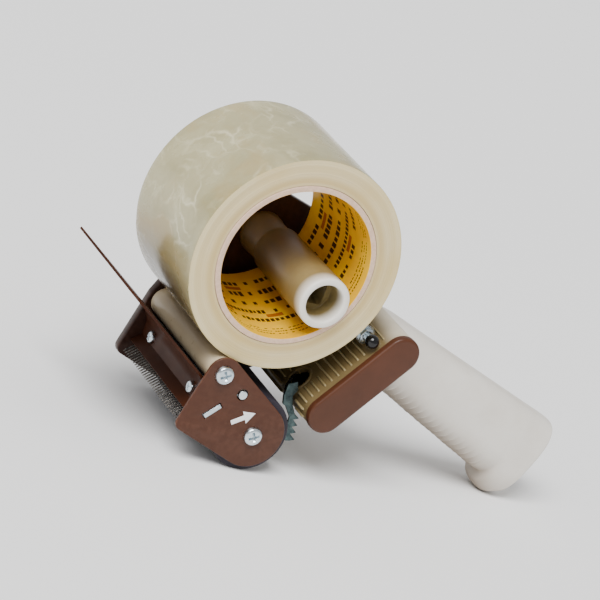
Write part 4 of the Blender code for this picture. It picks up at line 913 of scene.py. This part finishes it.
def make_beam():
    shell = plate("beam_shell", stadium(BEAM_R), [stadium(BEAM_INNER_R)], BEAM_NEAR,
                  BEAM_FAR - 0.1 * MM, 0.2 * MM)
    edit = bmesh.new()
    rings = []
    for reach in (3 * MM, 33 * MM):
        ring = []
        for i in range(48):
            p = turn(TAU * i / 48, OPENING_R)
            q = BEAM_FRONT + OPENING * reach + ACROSS_OPENING * p.x
            ring.append((q.x, OPENING_Y + p.y, q.y))
        rings.append(ring)
    skin(edit, rings, caps=True)
    cut_with(shell, finish_mesh("opening_cutter", edit))
    shade(shell.data)
    give(shell, BEAM, "frame", ["body_beam"])
    make_rim()
    make_ribs()


def make_rim():
    """A raised lip that follows the beam's round front about the wire's opening."""
    edit = bmesh.new()
    rings = []
    for i in range(72):
        angle = TAU * i / 72
        ring = []
        for j in range(10):
            around = TAU * j / 10
            p = turn(angle, OPENING_R + 0.7 * MM + RIM_R * math.cos(around))
            q = surface_point(p.x, BEAM_R - SINK) + OPENING * RIM_R * math.sin(around)
            ring.append((q.x, OPENING_Y + p.y, q.y))
        rings.append(ring)
    skin(edit, rings, closed=True)
    rim = finish_mesh("opening_rim", edit, smooth=60)
    give(rim, BEAM, "frame")


def make_ribs():
    """Fine ribs across the beam's upper side, carried over its round front."""
    edit = bmesh.new()
    near, far = BEAM_NEAR + 3.4 * MM, BEAM_FAR - 1.0 * MM
    for index in (*range(-3, 9), 11):
        s = (index + 0.2) * RIB_PITCH
        if s >= 0:
            foot = BEAM_FRONT + ALONG * s + UP * (BEAM_R - SINK)
            out, across = UP, ALONG
        else:
            angle = BEAM_ANGLE + math.pi / 2 - s / BEAM_R
            out = turn(angle)
            across = turn(angle - math.pi / 2)
            foot = BEAM_FRONT + out * (BEAM_R - SINK)
        spans = [(near, far)]
        if s < 9 * MM:
            spans = [(near, OPENING_Y - 8.2 * MM), (OPENING_Y + 8.2 * MM, far)]
        for near_end, far_end in spans:
            rings = []
            for y, grow in ((near_end, 0.15), (near_end + 0.5 * MM, 0.8), (near_end + 1.0 * MM, 1.0),
                            (far_end - 1.0 * MM, 1.0), (far_end, 0.15)):
                ring = []
                for a, b in ((-0.62, 0.0), (-0.5, 0.5), (-0.32, 0.86), (0.0, 0.98), (0.32, 0.86),
                             (0.5, 0.5), (0.62, 0.0), (0.0, -0.3)):
                    p = foot + across * a * RIB_HALF + out * b * grow * RIB_HEIGHT
                    ring.append((p.x, y, p.y))
                rings.append(ring)
            skin(edit, rings, caps=True)
    ribs = finish_mesh("beam_ribs", edit, smooth=60)
    give(ribs, RIB, "frame")


def make_cap():
    radius, near = 9.4, CAP_NEAR
    layers = [(radius - 1.7, 0.0), (radius - 1.1, 0.06), (radius - 0.6, 0.28), (radius - 0.22, 0.7),
              (radius - 0.05, 1.2), (radius, 1.7), (radius, 3.8), (radius - 0.2, 4.0),
              (6.6, 4.0), (6.6, 7.8)]
    cap = stacked("end_cover", [(stadium(r * MM), near + y * MM) for r, y in layers])
    give(cap, CAP_BROWN, "frame", ["end_cap"])


def hexagon_nut(name, node, centre, radius):
    """A chamfered hexagon nut."""
    near, far = faces_of(node)
    edit = bmesh.new()
    rings = []
    steps = 48
    chamfer = 0.12 * (far - near) + 0.2 * MM
    layers = [(0.42, near + 0.1 * MM, 1), (0.80, near, 1), (0.93, near + chamfer * 0.35, 0.5),
              (1.0, near + chamfer, 0), (1.0, far - chamfer, 0),
              (0.93, far - chamfer * 0.35, 0.5), (0.80, far, 1), (0.42, far - 0.1 * MM, 1)]
    for r_scale, y, round_off in layers:
        ring = []
        for i in range(steps):
            angle = TAU * i / steps
            sector = (angle % (TAU / 6)) - TAU / 12
            hexagon = math.cos(TAU / 12) / math.cos(sector)
            reach = radius * r_scale * (hexagon * (1 - round_off) + round_off * 0.95)
            p = centre + turn(angle, reach)
            ring.append((p.x, y, p.y))
        rings.append(ring)
    skin(edit, rings, closed=True)
    give(finish_mesh(name, edit, smooth=28), ZINC, "frame", [node])


def make_brake():
    low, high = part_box("ball_knob")
    centre = Vector(((low[0] + high[0]) / 2, (low[2] + high[2]) / 2))
    radius = (high[0] - low[0]) / 2
    middle = low[1] + radius
    profile = []
    for step in range(25):
        angle = math.radians(2) + (math.pi - math.radians(26)) * step / 24
        profile.append((radius * math.sin(angle), middle - radius * math.cos(angle)))
    profile += [(1.9 * MM, high[1] + 0.5 * MM), (1.2 * MM, high[1] + 0.5 * MM)]
    knob = lathe("knob_ball", centre, profile, 64, closed=False)
    give(knob, BLACK, "adjuster", ["ball_knob"])
    for side in ("near", "far"):
        hexagon_nut(f"locknut_{side}", f"brake_nut_{side}", centre, 3.9 * MM)
    seat = faces_of("brake_nut_near")[1]
    near, far = seat - 0.02 * MM, seat + 0.28 * MM
    bore, outer = 2.0 * MM, 4.9 * MM
    ring = lathe("brake_washer", centre, [(bore, near), (outer, near), (outer, far), (bore, far)], 56)
    give(ring, ZINC, "frame")
    for node, material, width in (("brake_stud", ZINC, 0.2), ("brake_bracket", BEAM, 0.35),
                                  ("drag_spring", STEEL, 0.12), ("holdback_arm", ZINC_BLUE, 0.3)):
        soften(NODES[node], width * MM)
        dress(node, material)
    dress("holdback_spring", DARK_WIRE)


# ---------------------------------------- handle

GRIP_MIDDLE = Y0 + 37.0 * MM
GRIP_HALF = 15.0
GRIP_POWER = 2 / 2.7
TOE_R = 9.6 * MM
RIDGE_PITCH = 4.4 * MM
RIDGE_DEPTH = 1.25 * MM
SEAM_DEPTH = 0.28 * MM


def grip_sections():
    """Back point, front point and half width (mm) of the grip's sections."""
    toe = Vector((BEAM_REAR.x + 99.7 * MM, TOE_R))

    def rear(x, z):
        return BEAM_REAR + Vector((x, z)) * MM

    def toe_point(degrees):
        return toe + turn(math.radians(degrees), TOE_R)

    return [(rear(1.0, 8.2), rear(-13.0, -18.5), 13.0), (rear(11.2, 6.0), rear(-3.0, -23.6), 13.7),
            (rear(27.2, 0.6), rear(14.2, -31.0), 14.3), (rear(57.2, -9.6), rear(42.7, -44.0), GRIP_HALF),
            (rear(90.2, -20.7), rear(75.0, -58.4), GRIP_HALF),
            (rear(98.2, -23.4), rear(84.0, -62.4), GRIP_HALF),
            (rear(105.2, -25.8), toe_point(172), GRIP_HALF),
            (rear(111.7, -27.9), toe_point(215), GRIP_HALF),
            (rear(117.2, -29.7), toe_point(258), GRIP_HALF),
            (rear(121.6, -31.4), toe_point(300), GRIP_HALF)]


def catmull(a, b, c, d, t):
    """A smooth curve from b to c, led in from a and out towards d."""
    return 0.5 * (2 * b + (c - a) * t + (2 * a - 5 * b + 4 * c - d) * t * t
                  + (3 * b - a - 3 * c + d) * t ** 3)


def clamp(value):
    return max(0.0, min(1.0, value))


def ridge_at(travel, share):
    """The saw-toothed ridges of the finger side, fading out at both ends."""
    strength = clamp((share - 1.15) / 0.35) * clamp((5.0 - share) / 0.25)
    phase = (travel / RIDGE_PITCH) % 1.0
    saw = phase / 0.78 if phase < 0.78 else (1 - phase) / 0.22
    return strength * (saw - 1.0) * RIDGE_DEPTH


def make_grip():
    """The handle as one loft: smooth back, ridged finger side, seam line and rounded toe."""
    sections = grip_sections()
    last_span = len(sections) - 2
    angles = [TAU * i / 72 for i in range(72)]
    for seam in (0.0, math.pi):
        angles += [seam + d for d in (-0.0085, -0.0032, 0.0032, 0.0085)]
    angles = sorted(a % TAU for a in angles)
    loops = []
    travel = 0.0
    last = None
    ridged_steps = {1: 40, 2: 62, 3: 66, 4: 24}
    for k in range(last_span + 1):
        group = [sections[max(0, min(last_span + 1, k + o))] for o in (-1, 0, 1, 2)]
        steps = ridged_steps.get(k, 10)
        for step in range(steps + (k == last_span)):
            t = step / steps
            back = catmull(*(g[0] for g in group), t) if k < 4 else group[1][0].lerp(group[2][0], t)
            front = catmull(*(g[1] for g in group), t) if k > 5 else group[1][1].lerp(group[2][1], t)
            width = (group[1][2] * (1 - t) + group[2][2] * t) * MM
            if last is not None:
                travel += (front - last).length
            last = front.copy()
            loops.append(grip_ring(back, front, width, ridge_at(travel, k + t), angles))
    back, front = sections[-1][:2]
    outwards = Vector(((back - front).y, -(back - front).x)).normalized()
    for shrink, push in ((0.12, 0.35), (0.5, 0.75), (1.1, 0.98), (2.0, 1.0)):
        shift = outwards * push * MM
        loops.append(grip_ring(back + shift, front + shift, GRIP_HALF * MM, 0.0, angles, shrink * MM))
    edit = bmesh.new()
    skin(edit, loops, caps=True)
    grip = finish_mesh("grip", edit, smooth=32)
    give(grip, IVORY, "frame", ["handle_near_shell", "handle_far_shell"])


def grip_ring(back, front, half_width, ridge, angles, shrink=0.0):
    """One rounded section of the grip, with its seam grooves and its share of a ridge."""
    centre = (back + front) / 2
    half = (back - front) / 2
    depth = half.length - shrink
    up = half.normalized()
    ring = []
    for angle in angles:
        cosine, sine = math.cos(angle), math.sin(angle)
        reach = math.copysign(abs(cosine) ** GRIP_POWER, cosine) * depth
        y = math.copysign(abs(sine) ** GRIP_POWER, sine) * (half_width - shrink)
        if abs(y) < 0.02 * MM:
            reach -= math.copysign(SEAM_DEPTH, cosine)
        if cosine < 0 and ridge:
            from_front = depth - abs(reach)
            reach -= ridge * max(0.0, 1.0 - from_front / (7.5 * MM)) ** 0.8
            spread = max(0.0, 1.0 - from_front / (9 * MM)) * min(1.0, abs(sine) * 3)
            y += math.copysign(1.0, sine) * ridge * 0.5 * spread
        place = centre + up * reach
        ring.append((place.x, GRIP_MIDDLE + y, place.y))
    return ring


# ---------------------------------------- studio

def make_studio():
    bpy.ops.mesh.primitive_plane_add(size=14, location=(0, 0, 0))
    floor = bpy.context.object
    floor.name = "studio_floor"
    n = Nodes("floor_paper")
    tone = n.mix(n.span(n.noise(3.0, 3.0), 0.3, 0.7), (0.955, 0.955, 0.955, 1), (0.965, 0.965, 0.962, 1))
    floor.data.materials.append(n.out(base_color=tone, roughness=0.9))
    world = bpy.data.worlds.new("studio_world")
    bpy.context.scene.world = world
    world.use_nodes = True
    back = world.node_tree.nodes["Background"]
    back.inputs["Color"].default_value = (1.0, 1.0, 1.0, 1)
    back.inputs["Strength"].default_value = 0.6
    data = bpy.data.lights.new("sun", "SUN")
    data.energy = 3.9
    data.angle = math.radians(34)
    sun = link(bpy.data.objects.new("sun", data))
    sun.rotation_euler = Vector((0.62, 0.62, -1.25)).to_track_quat("-Z", "Y").to_euler()
    data = bpy.data.lights.new("softbox", "AREA")
    data.shape = "SQUARE"
    data.size = 0.5
    data.energy = 2.5
    lamp = link(bpy.data.objects.new("softbox", data))
    lamp.location = (-0.9, -0.5, 0.9)
    lamp.rotation_euler = Vector((0.9, 0.5, -0.82)).to_track_quat("-Z", "Y").to_euler()


def make_camera():
    """The photograph's view: from the left front, a little above, with the camera rolled. In metres."""
    right = Vector((0.8484, -0.3803, 0.3682))
    look = Vector((0.4949, 0.8166, -0.2970))
    look = (look - right * look.dot(right) / right.length_squared).normalized()
    right.normalize()
    up = right.cross(look)
    data = bpy.data.cameras.new("camera")
    data.lens = 226.73
    data.sensor_width = 36
    data.clip_end = 40
    camera = link(bpy.data.objects.new("camera", data))
    place = Vector((APPLICATOR.x - 0.8864, Y0 - 1.4579, 0.6214))
    turned = Matrix((right, up, -look)).transposed().to_4x4()
    camera.matrix_world = Matrix.Translation(place) @ turned
    bpy.context.scene.camera = camera


make_roll()
make_hub()
make_rollers()
make_screws()
make_plates()
make_mark()
make_cutter()
make_beam()
make_cap()
make_brake()
make_grip()
make_studio()
make_camera()

bpy.context.view_layer.update()
